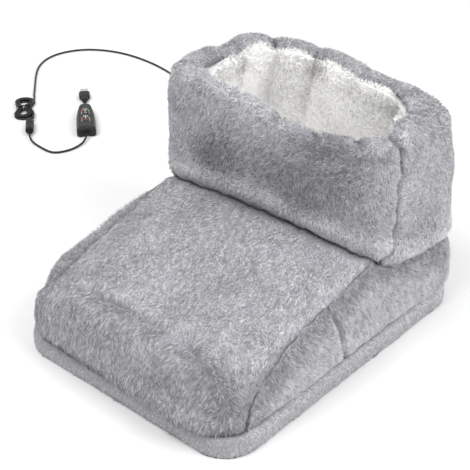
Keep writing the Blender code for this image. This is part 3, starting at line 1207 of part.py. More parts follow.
def make_usb(group):
    """The USB plug's moulded body, shell, tongue and contacts, and the short lead to it."""
    x = CONTROLLER_ASIDE
    top_end = CONTROLLER_LENGTH - CONTROLLER_BACK
    height = USB_BODY_THICKNESS / 2
    start = Vector((x, top_end - CORD_CLAMP_DEPTH, CONTROLLER_SPLIT + FIT_GAP / 2))
    end = Vector((x, top_end + USB_FREE_LENGTH, height))
    route = [
        start, start + Vector((0, CORD_CLAMP_DEPTH, 0)), start.lerp(end, 0.38) + Vector((0, 0, height / 14)),
        start.lerp(end, 0.7) - Vector((0, 0, height / 14)), end - Vector((0, CORD_DIAMETER, 0)), end,
    ]
    lead = smooth_route(route, 12)
    tube("usb_lead", laid(lead), CORD_DIAMETER, "black_pvc")

    base = Vector((x, end[1] + FIT_GAP, height))
    relief, neck, body = USB_RELIEF_LENGTH, USB_NECK_LENGTH, USB_BODY_LENGTH
    thin = USB_RELIEF_RADIUS * 0.78
    # Each section: how far along, half its width, half its thickness
    sections = []
    ribs = 3
    rib = relief / ribs
    for k in range(ribs):
        near = USB_RELIEF_RADIUS * (0.86 + 0.07 * k)
        groove = rib * (k + 0.5)
        sections += [(rib * k, near, near), (groove, near, near)]
        sections += [(groove, thin, thin), (rib * (k + 1), thin, thin)]
    wide, thick = USB_BODY_WIDTH / 2, USB_BODY_THICKNESS / 2
    narrow, low = USB_NECK_WIDTH / 2, USB_NECK_THICKNESS / 2
    sections += [
        (relief, narrow * 0.80, low * 0.9), (relief + neck * 0.12, narrow * 0.92, low),
        (relief + neck * 0.55, narrow, low), (relief + neck * 0.86, narrow * 1.14, low),
        (relief + neck, wide * 0.86, thick * 0.94),
        (relief + neck + body * 0.07, wide * 0.97, thick), (relief + neck + body * 0.45, wide, thick),
        (relief + neck + body * 0.97, wide * 0.96, thick), (relief + neck + body, wide * 0.92, thick * 0.92),
    ]
    rings = []
    for y, half_x, half_z in sections:
        ring = []
        power = 2 if half_x == half_z else 4
        for k in range(ROUND):
            turn = 2 * math.pi * k / ROUND
            c, s = math.cos(turn), math.sin(turn)
            reach = (abs(c) ** power + abs(s) ** power) ** (-1 / power)
            ring.append(Vector((half_x * c * reach, y, half_z * s * reach)))
        rings.append(ring)
    plug = swept_solid("usb_plug_body", rings, "black_pvc", False, group, base)
    face = relief + neck + body
    seat = box_mesh("usb_seat", USB_SHELL_WIDTH + 2 * FIT_GAP, face - USB_SEAT - FIT_GAP, face + CUT_OVERRUN,
                    USB_SHELL_HEIGHT + 2 * FIT_GAP, group, base)
    combine(plug, seat, "DIFFERENCE")
    shell_end = face + USB_SHELL_LENGTH
    shell = box_mesh("usb_shell", USB_SHELL_WIDTH, face - USB_SEAT, shell_end, USB_SHELL_HEIGHT,
                     group, base, "nickel")
    inside_width = USB_SHELL_WIDTH - 2 * USB_SHELL_WALL
    inside_height = USB_SHELL_HEIGHT - 2 * USB_SHELL_WALL
    bore = box_mesh("usb_bore", inside_width, face - USB_SEAT + USB_SHELL_WALL, shell_end + CUT_OVERRUN,
                    inside_height, group, base)
    combine(shell, bore, "DIFFERENCE")
    for side in (-1, 1):
        window = box_mesh("usb_window_%d" % (side + 2), USB_WINDOW, face + USB_WINDOW_FORWARD,
                          face + USB_WINDOW_FORWARD + USB_WINDOW, USB_SHELL_HEIGHT / 2, group,
                          base + Vector((side * USB_WINDOW_SPACING / 2, 0, USB_SHELL_HEIGHT / 2)))
        combine(shell, window, "DIFFERENCE")
    tongue_low = -inside_height / 2 + FIT_GAP
    tongue_middle = tongue_low + USB_TONGUE_THICKNESS / 2
    back = face - USB_SEAT + USB_SHELL_WALL + FIT_GAP
    tip = shell_end - USB_TONGUE_SET_BACK
    box_mesh("usb_tongue", inside_width - 2 * FIT_GAP, back, tip, USB_TONGUE_THICKNESS, group,
             base + Vector((0, 0, tongue_middle)), "white_nylon")
    contact_height = tongue_low + USB_TONGUE_THICKNESS + FIT_GAP + CONTACT_THICKNESS / 2
    for k in range(4):
        box_mesh("usb_contact_%d" % (k + 1), CONTACT_WIDTH, tip - USB_TONGUE_SET_BACK - CONTACT_LENGTH,
                 tip - USB_TONGUE_SET_BACK, CONTACT_THICKNESS, group,
                 base + Vector(((k - 1.5) * CONTACT_SPACING, 0, contact_height)), "brass")
    return route_length(lead)


def box_mesh(name, width, low_y, high_y, height, parent, place, finish="black_abs"):
    """A block along Y, centred in X and Z on its place."""
    outline = [p + Vector((0, (low_y + high_y) / 2)) for p in square(width / 2, (high_y - low_y) / 2)]
    return prism(name, outline, -height / 2, height / 2, finish, parent, place)


def empty(name):
    made = bpy.data.objects.new(name, None)
    bpy.context.collection.objects.link(made)
    made.location = (LAY_X, LAY_Y, 0)
    made.rotation_euler = (0, 0, LAY_ANGLE)
    return made


def main():
    for item in list(bpy.data.objects):
        bpy.data.objects.remove(item, do_unlink=True)
    make_materials()
    make_lower_walls()
    make_collar()
    make_sole()
    socket_group, plug_group = empty("socket_group"), empty("plug_group")
    boot_side = make_lead_and_hank()
    make_connector(socket_group, plug_group)
    make_controller(plug_group)
    print("controller lead %.3f m, USB lead %.3f m, boot lead with its hank %.3f m" % (
        make_controller_lead(), make_usb(plug_group), boot_side))


main()
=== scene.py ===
"""Dresses the electric foot warmer: plush panels and their pile, sherpa linings, cords, controller, studio, camera.

Metres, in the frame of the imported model: toe towards -Y, +X to the side that the camera sees, floor at z = 0.
"""
import math
from itertools import product

import bmesh
import bpy
import numpy as np
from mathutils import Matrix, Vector
from mathutils.bvhtree import BVHTree


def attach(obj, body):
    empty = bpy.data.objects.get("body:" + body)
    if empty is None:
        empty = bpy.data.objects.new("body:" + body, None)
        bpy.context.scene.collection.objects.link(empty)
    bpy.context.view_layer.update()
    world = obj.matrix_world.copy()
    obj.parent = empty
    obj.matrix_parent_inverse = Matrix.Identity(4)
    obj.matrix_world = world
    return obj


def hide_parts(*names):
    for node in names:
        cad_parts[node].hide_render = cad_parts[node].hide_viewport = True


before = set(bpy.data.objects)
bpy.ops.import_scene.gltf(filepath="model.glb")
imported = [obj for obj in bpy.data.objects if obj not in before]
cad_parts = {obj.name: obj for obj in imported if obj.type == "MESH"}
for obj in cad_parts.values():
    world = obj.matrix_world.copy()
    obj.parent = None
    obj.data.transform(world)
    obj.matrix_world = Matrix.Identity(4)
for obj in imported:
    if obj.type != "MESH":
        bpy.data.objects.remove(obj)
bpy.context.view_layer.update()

# The boot, as its solids have it
BOOT_WIDTH, BOOT_LENGTH, RIM_HEIGHT = 0.300, 0.390, 0.252
COLLAR_SETBACK = 0.214
SIDE_SEAM_HEIGHT, BACK_SEAM_DROP = 0.117, 0.031
VAMP_CROWN = 0.011
TOE_SEAM_SETBACK = 0.034
SEAM_SET_IN, WALL_SET_IN = 0.007, 0.004
COLLAR_CORNER_SETBACK = 0.012
SIDE_BULGE, COLLAR_BULGE = 0.004, 0.003
HEEL_RADIUS = 0.042
RIM_ROLL_RADIUS, RIM_FULLNESS = 0.0135, 0.001
BAND_HEIGHT, BAND_WIDTH, SOLE_CORNER_RADIUS = 0.0217, 0.014, 0.040
PLUSH_DEPTH, WADDING_DEPTH, LINING_DEPTH = 0.0100, 0.0170, 0.0240
PAD_SIDE_SETBACK, PAD_TOE_SETBACK, PAD_HEEL_SETBACK, PAD_CORNER_RADIUS = 0.038, 0.044, 0.038, 0.032
INSOLE_LOW, INSOLE_THICKNESS, INSOLE_RIM = 0.0271, 0.010, 0.0015
UPRIGHT_SEAM_Y = 0.0598

# The cords and the controller, in a frame of their own that lies on the floor
CORD_DIAMETER = 0.003
LAY_X, LAY_Y, LAY_ANGLE = -0.549, 0.150, math.radians(49.5)
HANK_LENGTH, HANK_LOBE_WIDTH, HANK_WAIST_WIDTH = 0.074, 0.032, 0.0198
HANK_PITCH, HANK_LAYER, HANK_WAIST_LIFT, HANK_ASIDE = 0.0038, 0.00345, 0.0010, 0.0100
HANK_LOOPS, FOLD_POINTS, RUN_POINTS = 4, 8, 4
SOCKET_END = 0.0158
HANK_LOW = SOCKET_END + 0.016
CONNECTOR_RADIUS = 0.0061

# Where the lead leaves the boot, and its way over the floor to the hank
LEAD_EXIT = (0, 0.2152, 0.0120)
LEAD_ROUTE = (
    (0.000, 0.219, 0.0120), (-0.004, 0.237, 0.0092), (-0.020, 0.263, 0.0030), (-0.060, 0.291, 0.0015),
    (-0.150, 0.327, 0.0015), (-0.270, 0.372, 0.0015), (-0.390, 0.398, 0.0015), (-0.500, 0.426, 0.0015),
    (-0.592, 0.446, 0.0015), (-0.668, 0.443, 0.0015), (-0.722, 0.414, 0.0015), (-0.742, 0.364, 0.0015),
    (-0.721, 0.310, 0.0015),
)

# The controller's place and length, its parting line, how deep its cords are held, and its face's and buttons' heights
CONTROLLER_ASIDE, CONTROLLER_BACK, CONTROLLER_LENGTH = 0.082, 0.0377, 0.088
CONTROLLER_SPLIT, CLAMP_DEPTH, NOTCH_DEPTH = 0.0070, 0.0062, 0.0030
CONTROLLER_TOP_END = CONTROLLER_LENGTH - CONTROLLER_BACK
FACE_HEIGHT, BUTTON_HEIGHT = 0.0150, 0.0156

# How far back and up the vamp's edge and crown have come, as shares, at even steps from the toe to the collar
SEAM_SHARES = (
    (0.00, 0.00), (0.02, 0.10), (0.05, 0.24), (0.12, 0.42), (0.22, 0.58),
    (0.36, 0.70), (0.52, 0.80), (0.69, 0.87), (0.85, 0.93), (1.00, 1.00),
)
CROWN_SHARES = (
    (0.000, 0.00), (-0.012, 0.13), (0.008, 0.28), (0.065, 0.43), (0.16, 0.555),
    (0.30, 0.66), (0.47, 0.745), (0.65, 0.82), (0.83, 0.90), (1.00, 1.00),
)
PLAN_POWER, CROWN_POWER, RIM_POWER = 9, 3, 6

HALF_WIDTH = BOOT_WIDTH / 2
TOE_Y, HEEL_Y = -BOOT_LENGTH / 2, BOOT_LENGTH / 2
COLLAR_FRONT_Y = TOE_Y + COLLAR_SETBACK
CORNER_Y = COLLAR_FRONT_Y + COLLAR_CORNER_SETBACK
WALL_BASE = BAND_HEIGHT + 0.0003
SEAM_HALF = HALF_WIDTH - SEAM_SET_IN
RIM_HALF = HALF_WIDTH - 2 * RIM_FULLNESS
RIM_MIDDLE_Y = (COLLAR_FRONT_Y + HEEL_Y) / 2
RIM_DEPTH_HALF = (HEEL_Y - COLLAR_FRONT_Y) / 2 - 2 * RIM_FULLNESS
ROLL_BASE = RIM_HEIGHT - RIM_ROLL_RADIUS

# How finely the cloth is drawn, and how thick its pile stands
STEP = 0.0024
HAIRS_PER_AREA = 0.74e6
PILE_STANDS = 0.0040
UP = np.array([0.0, 0.0, 1.0])

# How deep the seams lie under the panels' faces, and how far they wander: (distance, size, seed)
SEAM_DEPTH, FOOT_SEAM_DEPTH = 0.0080, 0.0080
SEAM_WANDERS = ((0.0016, 0.013, 90), (0.0013, 0.0055, 93))

# The two piled cloths: their hairs' finish and their slot
PLUSH, SHERPA = ("plush_pile", "grey_plush"), ("sherpa_pile", "white_sherpa")


# Noise on arrays of points

def lattice(ix, iy, iz, seed):
    h = (ix * 374761393 + iy * 668265263 + iz * 1440662683 + seed * 974634777) & 0xFFFFFFFF
    h = ((h ^ (h >> 13)) * 1274126177) & 0xFFFFFFFF
    return (h ^ (h >> 16)) / 4294967295.0


def noise(points, size, seed=0):
    """Smooth noise from -1 to 1 whose lumps are about this size."""
    p = np.asarray(points, float) / size + 500.0
    low = np.floor(p).astype(np.int64)
    f = p - low
    f = f * f * f * (f * (f * 6 - 15) + 10)
    total = 0.0
    for dx, dy, dz in product((0, 1), repeat=3):
        weight = (
            (f[..., 0] if dx else 1 - f[..., 0])
            * (f[..., 1] if dy else 1 - f[..., 1])
            * (f[..., 2] if dz else 1 - f[..., 2])
        )
        total = total + weight * lattice(low[..., 0] + dx, low[..., 1] + dy, low[..., 2] + dz, seed)
    return 2 * total - 1


def noise_vector(points, size, seed):
    return np.stack([noise(points, size, seed + k) for k in range(3)], axis=-1)


def curls(points, size, seed=0):
    """Distance to the nearest of scattered points, in units of size."""
    p = np.asarray(points, float) / size + 500.0
    low = np.floor(p).astype(np.int64)
    nearest = np.full(p.shape[:-1], 9.0)
    for shift in product((-1, 0, 1), repeat=3):
        cell = [low[..., k] + shift[k] for k in range(3)]
        gap = sum((p[..., k] - (cell[k] + lattice(*cell, seed + 17 * k))) ** 2 for k in range(3))
        nearest = np.minimum(nearest, gap)
    return np.sqrt(nearest)


def unit(v):
    return v / np.maximum(np.linalg.norm(v, axis=-1, keepdims=True), 1e-12)


def ease(low, high, x):
    """0 before low, 1 after high, and smooth between. With low above high it runs the other way."""
    t = np.clip((x - low) / (high - low), 0, 1)
    return t * t * (3 - 2 * t)


def bell(x, width, power=2):
    """1 where x is 0, and falling to nothing within about two widths."""
    return np.exp(-(x / width) ** power)


def relief(marks, fields):
    """The sum of marks: each is (height, field, middle, width), a bell across that field of numbers.

    A mark's fifth word, where it has one, names a field that the bell is multiplied by.
    """
    total = 0.0
    for height, across, middle, width, *share in marks:
        total = total + height * bell(fields[across] - middle, width) * (fields[share[0]] if share else 1)
    return total


def lumps(points, table, seed=0):
    """The sum of a table's noises: each is (height, size, what it adds to the seed)."""
    return sum(height * noise(points, size, seed + more) for height, size, more in table)


def xyz(*parts):
    """Points or directions from their coordinates, which are arrays or plain numbers."""
    return np.stack(np.broadcast_arrays(*parts), axis=-1)


def raised(plan, z):
    """Points of a plan at heights z."""
    return xyz(plan[..., 0], plan[..., 1], z)


def rows_at(x, known, rows):
    """Rows of numbers at x, between those that are known."""
    return xyz(*(np.interp(x, known, column) for column in np.asarray(rows, float).T))


def through(points, share):
    """The smooth curve through points, at shares of their count."""
    p = np.asarray(points, float)
    last = len(p) - 1
    x = np.clip(np.asarray(share, float), 0, 1) * last
    k = np.minimum(x.astype(int), last - 1)
    t = (x - k)[..., None]
    a, b = p[k], p[k + 1]
    before = np.where((k > 0)[..., None], p[np.maximum(k - 1, 0)], 2 * a - b)
    after = np.where((k + 2 <= last)[..., None], p[np.minimum(k + 2, last)], 2 * b - a)
    return 0.5 * (
        2 * a + (b - before) * t + (2 * before - 5 * a + 4 * b - after) * t ** 2
        + (3 * a - before - 3 * b + after) * t ** 3
    )


def lengths_along(line):
    return np.concatenate([[0], np.cumsum(np.linalg.norm(np.diff(line, axis=0), axis=1))])


def evenly(line, values, step):
    """Values of a line's own parameter, spaced so that the line's points are about step apart."""
    far = lengths_along(line)
    return np.interp(np.linspace(0, far[-1], max(int(far[-1] / step), 2) + 1), far, values)


def from_line(points, line):
    """Distance of every point from a polyline, and how far along it the nearest spot is, from 0 to 1."""
    line = np.asarray(line, float)
    least, along = np.full(points.shape[:-1], 9.0), np.zeros(points.shape[:-1])
    for k in range(len(line) - 1):
        a, way = line[k], line[k + 1] - line[k]
        t = np.clip(((points - a) @ way) / (way @ way), 0, 1)
        gap = np.linalg.norm(points - a - t[..., None] * way, axis=-1)
        along = np.where(gap < least, (k + t) / (len(line) - 1), along)
        least = np.minimum(least, gap)
    return least, along


def away_from(points, line, along):
    """Unit directions away from a polyline's spots at shares along it."""
    return unit(points - rows_at(along * (len(line) - 1), np.arange(len(line)), line))


# Shader nodes as expressions

class Value:
    """One output of a material's nodes. Arithmetic on it adds Math nodes."""

    def __init__(self, paint, socket):
        self.paint, self.socket = paint, socket

    def math(self, operation, other):
        return self.paint.node("ShaderNodeMath", {"operation": operation}, {0: self, 1: other})

    def __add__(self, other):
        return self.math("ADD", other)

    def __mul__(self, other):
        return self.math("MULTIPLY", other)

    __radd__ = __add__


class Paint:
    """A material: constants go straight onto its shader's sockets, and feed() joins what varies."""

    def __init__(self, name, **constants):
        self.material = bpy.data.materials.new(name)
        self.material.use_nodes = True
        self.tree = self.material.node_tree
        self.shader = self.tree.nodes["Principled BSDF"]
        for key, value in constants.items():
            socket = self.shader.inputs[key.replace("_", " ").title().replace("Ior", "IOR")]
            socket.default_value = (*value, 1) if hasattr(value, "__len__") else value

    def node(self, kind, settings=None, inputs=None, output=0):
        made = self.tree.nodes.new(kind)
        for key, value in (settings or {}).items():
            if key == "stops":
                ramp = made.color_ramp
                while len(ramp.elements) < len(value):
                    ramp.elements.new(0.5)
                for element, (at, colour) in zip(ramp.elements, value):
                    element.position, element.color = at, (*colour, 1)
            else:
                setattr(made, key, value)
        for key, value in (inputs or {}).items():
            if isinstance(value, Value):
                self.tree.links.new(value.socket, made.inputs[key])
            elif hasattr(value, "__len__") and made.inputs[key].type == "RGBA":
                made.inputs[key].default_value = (*value, 1)
            else:
                made.inputs[key].default_value = value
        return Value(self, made.outputs[output])

    def place(self):
        return self.node("ShaderNodeTexCoord", output="Object")

    def noise(self, scale, detail, distortion=0.0):
        return self.node("ShaderNodeTexNoise", None, {
            "Vector": self.place(), "Scale": scale, "Detail": detail, "Distortion": distortion,
        })

    def ramp(self, factor, *stops):
        return self.node("ShaderNodeValToRGB", {"stops": stops}, {0: factor})

    def mix(self, factor, first, second):
        return self.node("ShaderNodeMix", {"data_type": "RGBA"}, {0: factor, 6: first, 7: second}, 2)

    def attribute(self, name):
        return self.node("ShaderNodeAttribute", {"attribute_name": name}, None, "Fac")

    def feed(self, socket, value):
        self.tree.links.new(value.socket, self.shader.inputs[socket])

    def bump(self, height, strength, distance):
        self.feed("Normal", self.node("ShaderNodeBump", None, {
            "Height": height, "Strength": strength, "Distance": distance,
        }))


# A hair's tones, from its darkest to its lightest
PLUSH_TONES = (
    (0.0, (0.15, 0.147, 0.160)), (0.35, (0.41, 0.405, 0.433)), (0.65, (0.59, 0.583, 0.615)),
    (1.0, (0.83, 0.823, 0.855)),
)
SHERPA_TONES = (
    (0.0, (0.60, 0.592, 0.575)), (0.45, (0.94, 0.933, 0.919)), (0.70, (0.975, 0.970, 0.960)),
    (1.0, (0.985, 0.982, 0.974)),
)
# Black plastics: their tone, roughness, and the scale and depth of their grain
BLACKS = {
    "cord_pvc": (0.012, 0.46, 900, 0.05), "moulded_pvc": (0.010, 0.52, 1500, 0.12),
    "case_abs": (0.013, 0.42, 2200, 0.15), "face_film": (0.008, 0.34, 3000, 0.05),
    "button_top": (0.024, 0.55, 2500, 0.10),
}
# Finishes of one colour: colour and roughness
PLAINS = {
    # plush_ground is darker than the plush's hairs so that the gaps between them read dark: painted shade
    "plush_ground": ((0.28, 0.277, 0.296), 0.95), "sherpa_ground": ((0.97, 0.963, 0.950), 0.95),
    "white_ink": ((0.78, 0.78, 0.78), 0.5), "red_ink": ((0.55, 0.03, 0.03), 0.5),
    "nylon_tongue": ((0.72, 0.72, 0.70), 0.45), "board_green": ((0.03, 0.14, 0.06), 0.4),
    "silicone_sleeve": ((0.60, 0.05, 0.04), 0.4),
}
METALS = {"nickel_plate": ((0.62, 0.62, 0.60), 0.24), "gilt_contact": ((0.72, 0.53, 0.24), 0.28)}
# Foam and felt: colour, and the scale of their lumps
CLOTHS = {"cut_foam": ((0.82, 0.81, 0.78), 500), "needled_felt": ((0.66, 0.65, 0.62), 700)}
LENSES = {"red": (0.75, 0.05, 0.04), "amber": (0.80, 0.42, 0.05), "green": (0.06, 0.50, 0.10)}
# The finishes of the CAD nodes that stay
DRESSES = {
    "silicone_wire": "silicone_sleeve", "black_pvc": "moulded_pvc", "black_abs": "case_abs", "label_film": "face_film",
    "button_rubber": "button_top", "light_bar": "moulded_pvc", "circuit_board": "board_green",
    "nickel": "nickel_plate", "brass": "gilt_contact", "white_nylon": "nylon_tongue",
}


def pile_paint(name, tones, sheen):
    """Hairs of one cloth: their tone runs from their roots to their tips, and differs from hair to hair."""
    paint = Paint(name, roughness=0.85, sheen_roughness=0.5, specular_ior_level=0.2, sheen_weight=sheen)
    paint.feed("Base Color", paint.ramp(paint.attribute("tone"), *tones))
    return paint.material


def black(name, tone, rough, scale, depth):
    """Black plastic with a fine moulded grain and slightly uneven gloss."""
    paint = Paint(name, base_color=(tone, tone, tone * 1.03), specular_ior_level=0.28)
    grain = paint.noise(scale, 3)
    paint.feed("Roughness", rough - 0.06 + grain * 0.12)
    paint.bump(grain, depth, 0.0002)
    return paint.material


def metal(name, colour, rough):
    paint = Paint(name, base_color=colour, metallic=1.0)
    paint.feed("Roughness", rough - 0.05 + paint.noise(1500, 3) * 0.10)
    return paint.material


def lumpy(name, colour, scale):
    paint = Paint(name, roughness=0.95)
    lumps = paint.noise(scale, 4, 0.6)
    paint.feed("Base Color", paint.mix(lumps, tuple(0.82 * c for c in colour), colour))
    paint.bump(lumps, 0.5, 0.0008)
    return paint.material


def gripping_sole():
    """Dark grey non-slip cloth with small round grips."""
    paint = Paint("gripping_sole", roughness=0.8)
    spots = paint.node("ShaderNodeTexVoronoi", {"voronoi_dimensions": "2D"}, {
        "Vector": paint.place(), "Scale": 190.0, "Randomness": 0.0,
    })
    grip = paint.node("ShaderNodeMath", {"operation": "LESS_THAN"}, {0: spots, 1: 0.28})
    weave = paint.noise(1400, 2)
    paint.feed("Base Color", paint.mix(grip, (0.13, 0.13, 0.14), (0.045, 0.045, 0.048)))
    paint.bump(grip + weave * 0.25, 0.6, 0.0006)
    return paint.material


def make_finishes():
    """The materials of the boot, its cords and its controller, by their names."""
    made = [pile_paint("plush_pile", PLUSH_TONES, 0.12), pile_paint("sherpa_pile", SHERPA_TONES, 0.08), gripping_sole()]
    for kind, table in ((black, BLACKS), (metal, METALS), (lumpy, CLOTHS)):
        made += [kind(name, *facts) for name, facts in table.items()]
    made += [Paint(name, base_color=colour, roughness=rough).material for name, (colour, rough) in PLAINS.items()]
    # The lamps' lenses get a faint painted glow
    made += [
        Paint(name + "_lens", base_color=colour, roughness=0.25, coat_weight=0.4, emission_color=colour,
              emission_strength=0.35).material for name, colour in LENSES.items()
    ]
    return {material.name: material for material in made}


FINISHES = make_finishes()


def dress_nodes():
    """Gives the CAD nodes that stay their finishes."""
    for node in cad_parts.values():
        for slot in node.material_slots:
            if slot.material:
                slot.material = FINISHES.get(DRESSES.get(slot.material.name.split(".")[0]), slot.material)


# Meshes from arrays

def add_object(name, data):
    made = bpy.data.objects.new(name, data)
    bpy.context.collection.objects.link(made)
    return made


def mesh_from(name, points, faces, material, tone=None, normals=None, spots=None):
    """A mesh from an array of points and arrays of faces. spots are the corners' places in the colours' own map."""
    mesh = bpy.data.meshes.new(name)
    corners = np.concatenate([group.reshape(-1) for group in faces])
    sizes = np.concatenate([np.full(len(group), group.shape[1]) for group in faces])
    mesh.vertices.add(len(points))
    mesh.vertices.foreach_set("co", np.ascontiguousarray(points, dtype=np.float32).reshape(-1))
    mesh.loops.add(len(corners))
    mesh.loops.foreach_set("vertex_index", corners.astype(np.int32))
    mesh.polygons.add(len(sizes))
    mesh.polygons.foreach_set("loop_start", np.concatenate([[0], np.cumsum(sizes)[:-1]]).astype(np.int32))
    mesh.update(calc_edges=True)
    if tone is not None:
        held = mesh.attributes.new("tone", "FLOAT", "POINT")
        held.data.foreach_set("value", np.ascontiguousarray(tone, dtype=np.float32).reshape(-1))
    if spots is not None:
        layer = mesh.uv_layers.new(name="OFBake")
        layer.data.foreach_set("uv", np.ascontiguousarray(spots[corners], dtype=np.float32).reshape(-1))
    mesh.shade_smooth()
    if normals is not None:
        mesh.normals_split_custom_set_from_vertices(normals.tolist())
    mesh.materials.append(material)
    return add_object(name, mesh)


def face_outwards(mesh):
    shape = bmesh.new()
    shape.from_mesh(mesh)
    bmesh.ops.recalc_face_normals(shape, faces=shape.faces)
    shape.to_mesh(mesh)
    shape.free()


def shell(name, outer, inner, material, ring=False):
    """A closed piece between a fine outer grid and a coarse inner one, both (columns, rows, 3)."""
    sections = np.concatenate([outer, inner[:, ::-1]], axis=1)
    columns, size = sections.shape[:2]
    index = np.arange(columns * size).reshape(columns, size)
    beside = np.roll(index, -1, axis=1)
    last = columns if ring else columns - 1
    ahead, ahead_beside = np.roll(index, -1, axis=0), np.roll(beside, -1, axis=0)
    faces = [np.stack([index[:last], beside[:last], ahead_beside[:last], ahead[:last]], axis=-1).reshape(-1, 4)]
    if not ring:
        faces += [index[:1, ::-1], index[-1:]]
    made = mesh_from(name, sections.reshape(-1, 3), faces, FINISHES[material])
    face_outwards(made.data)
    return made


def normals_of(grid, toward, ring=False):
    """Unit normals of a (columns, rows, 3) grid, on the side that the directions in toward point to."""
    along = np.roll(grid, -1, 0) - np.roll(grid, 1, 0) if ring else np.gradient(grid, axis=0)
    normal = unit(np.cross(along, np.gradient(grid, axis=1)))
    return normal * (1 if (normal * toward).sum(-1).mean() > 0 else -1)


def sewn(base, normal, lift, *edges):
    """A puffed face: base lifted along its normal, and rolled in at its seams.

    Each edge is (distance from it, how wide its roll is, where its own line goes). Two panels that meet at a seam
    give it the same last vector, so their edges stay together.
    """
    share, pull = 1.0, 0.0
    wander = sum(far * noise_vector(base, size, seed) for far, size, seed in SEAM_WANDERS)
    for distance, reach, tuck in edges:
        risen = np.sqrt(1 - (1 - np.clip(distance / reach, 0, 1)) ** 2)
        share = share * risen
        pull = pull + (1 - risen)[..., None] * (tuck + wander)
    return base + normal * (lift * share)[..., None] + pull


def cut_short(edge):
    """How long the pile is near a seam, as a share of its full length."""
    return 0.35 + 0.65 * ease(0, 0.009, edge)


def foot_tuck(base, out):
    """Where the seam at the collar's foot goes: deep in front, shallower behind."""
    depth = FOOT_SEAM_DEPTH * (1 - 0.6 * ease(0.05, 0.12, base[..., 1:2]))
    return depth * (-0.8 * out - 0.5 * UP)


def level_way(normal):
    """Unit horizontal directions of normals."""
    return unit(normal * np.array([1, 1, 0]))


# How a hair is drawn. Its way: the sizes of its swirl, its stray and its unruly rise, and how much it strays
SWIRL_SIZE, STRAY_SIZE, RISE_SIZE, STRAY = 0.055, 0.012, 0.022, 0.35
# Its size: how much it varies, how much wider it is in a quick scene, how deep it roots and how low it may reach
LENGTHS, WIDTHS, QUICK_WIDTH, ROOT_DEPTH, LOWEST = (0.7, 1.15), (0.75, 1.25), 2.2, 0.0004, 0.0003
# Its tone: what is its own, its clump's and its patch's, how far clumps are drawn out, and what its corners add:
# painted shade at its root and a painted highlight at its tip
OWN_TONE, CLUMP_TONE, PATCH_TONE, DRAWN_OUT = 0.50, 0.68, 0.12, 0.68
ROOT_SHADE_TIP_HIGHLIGHT = np.array([-0.26, -0.26, -0.14, 0.14])


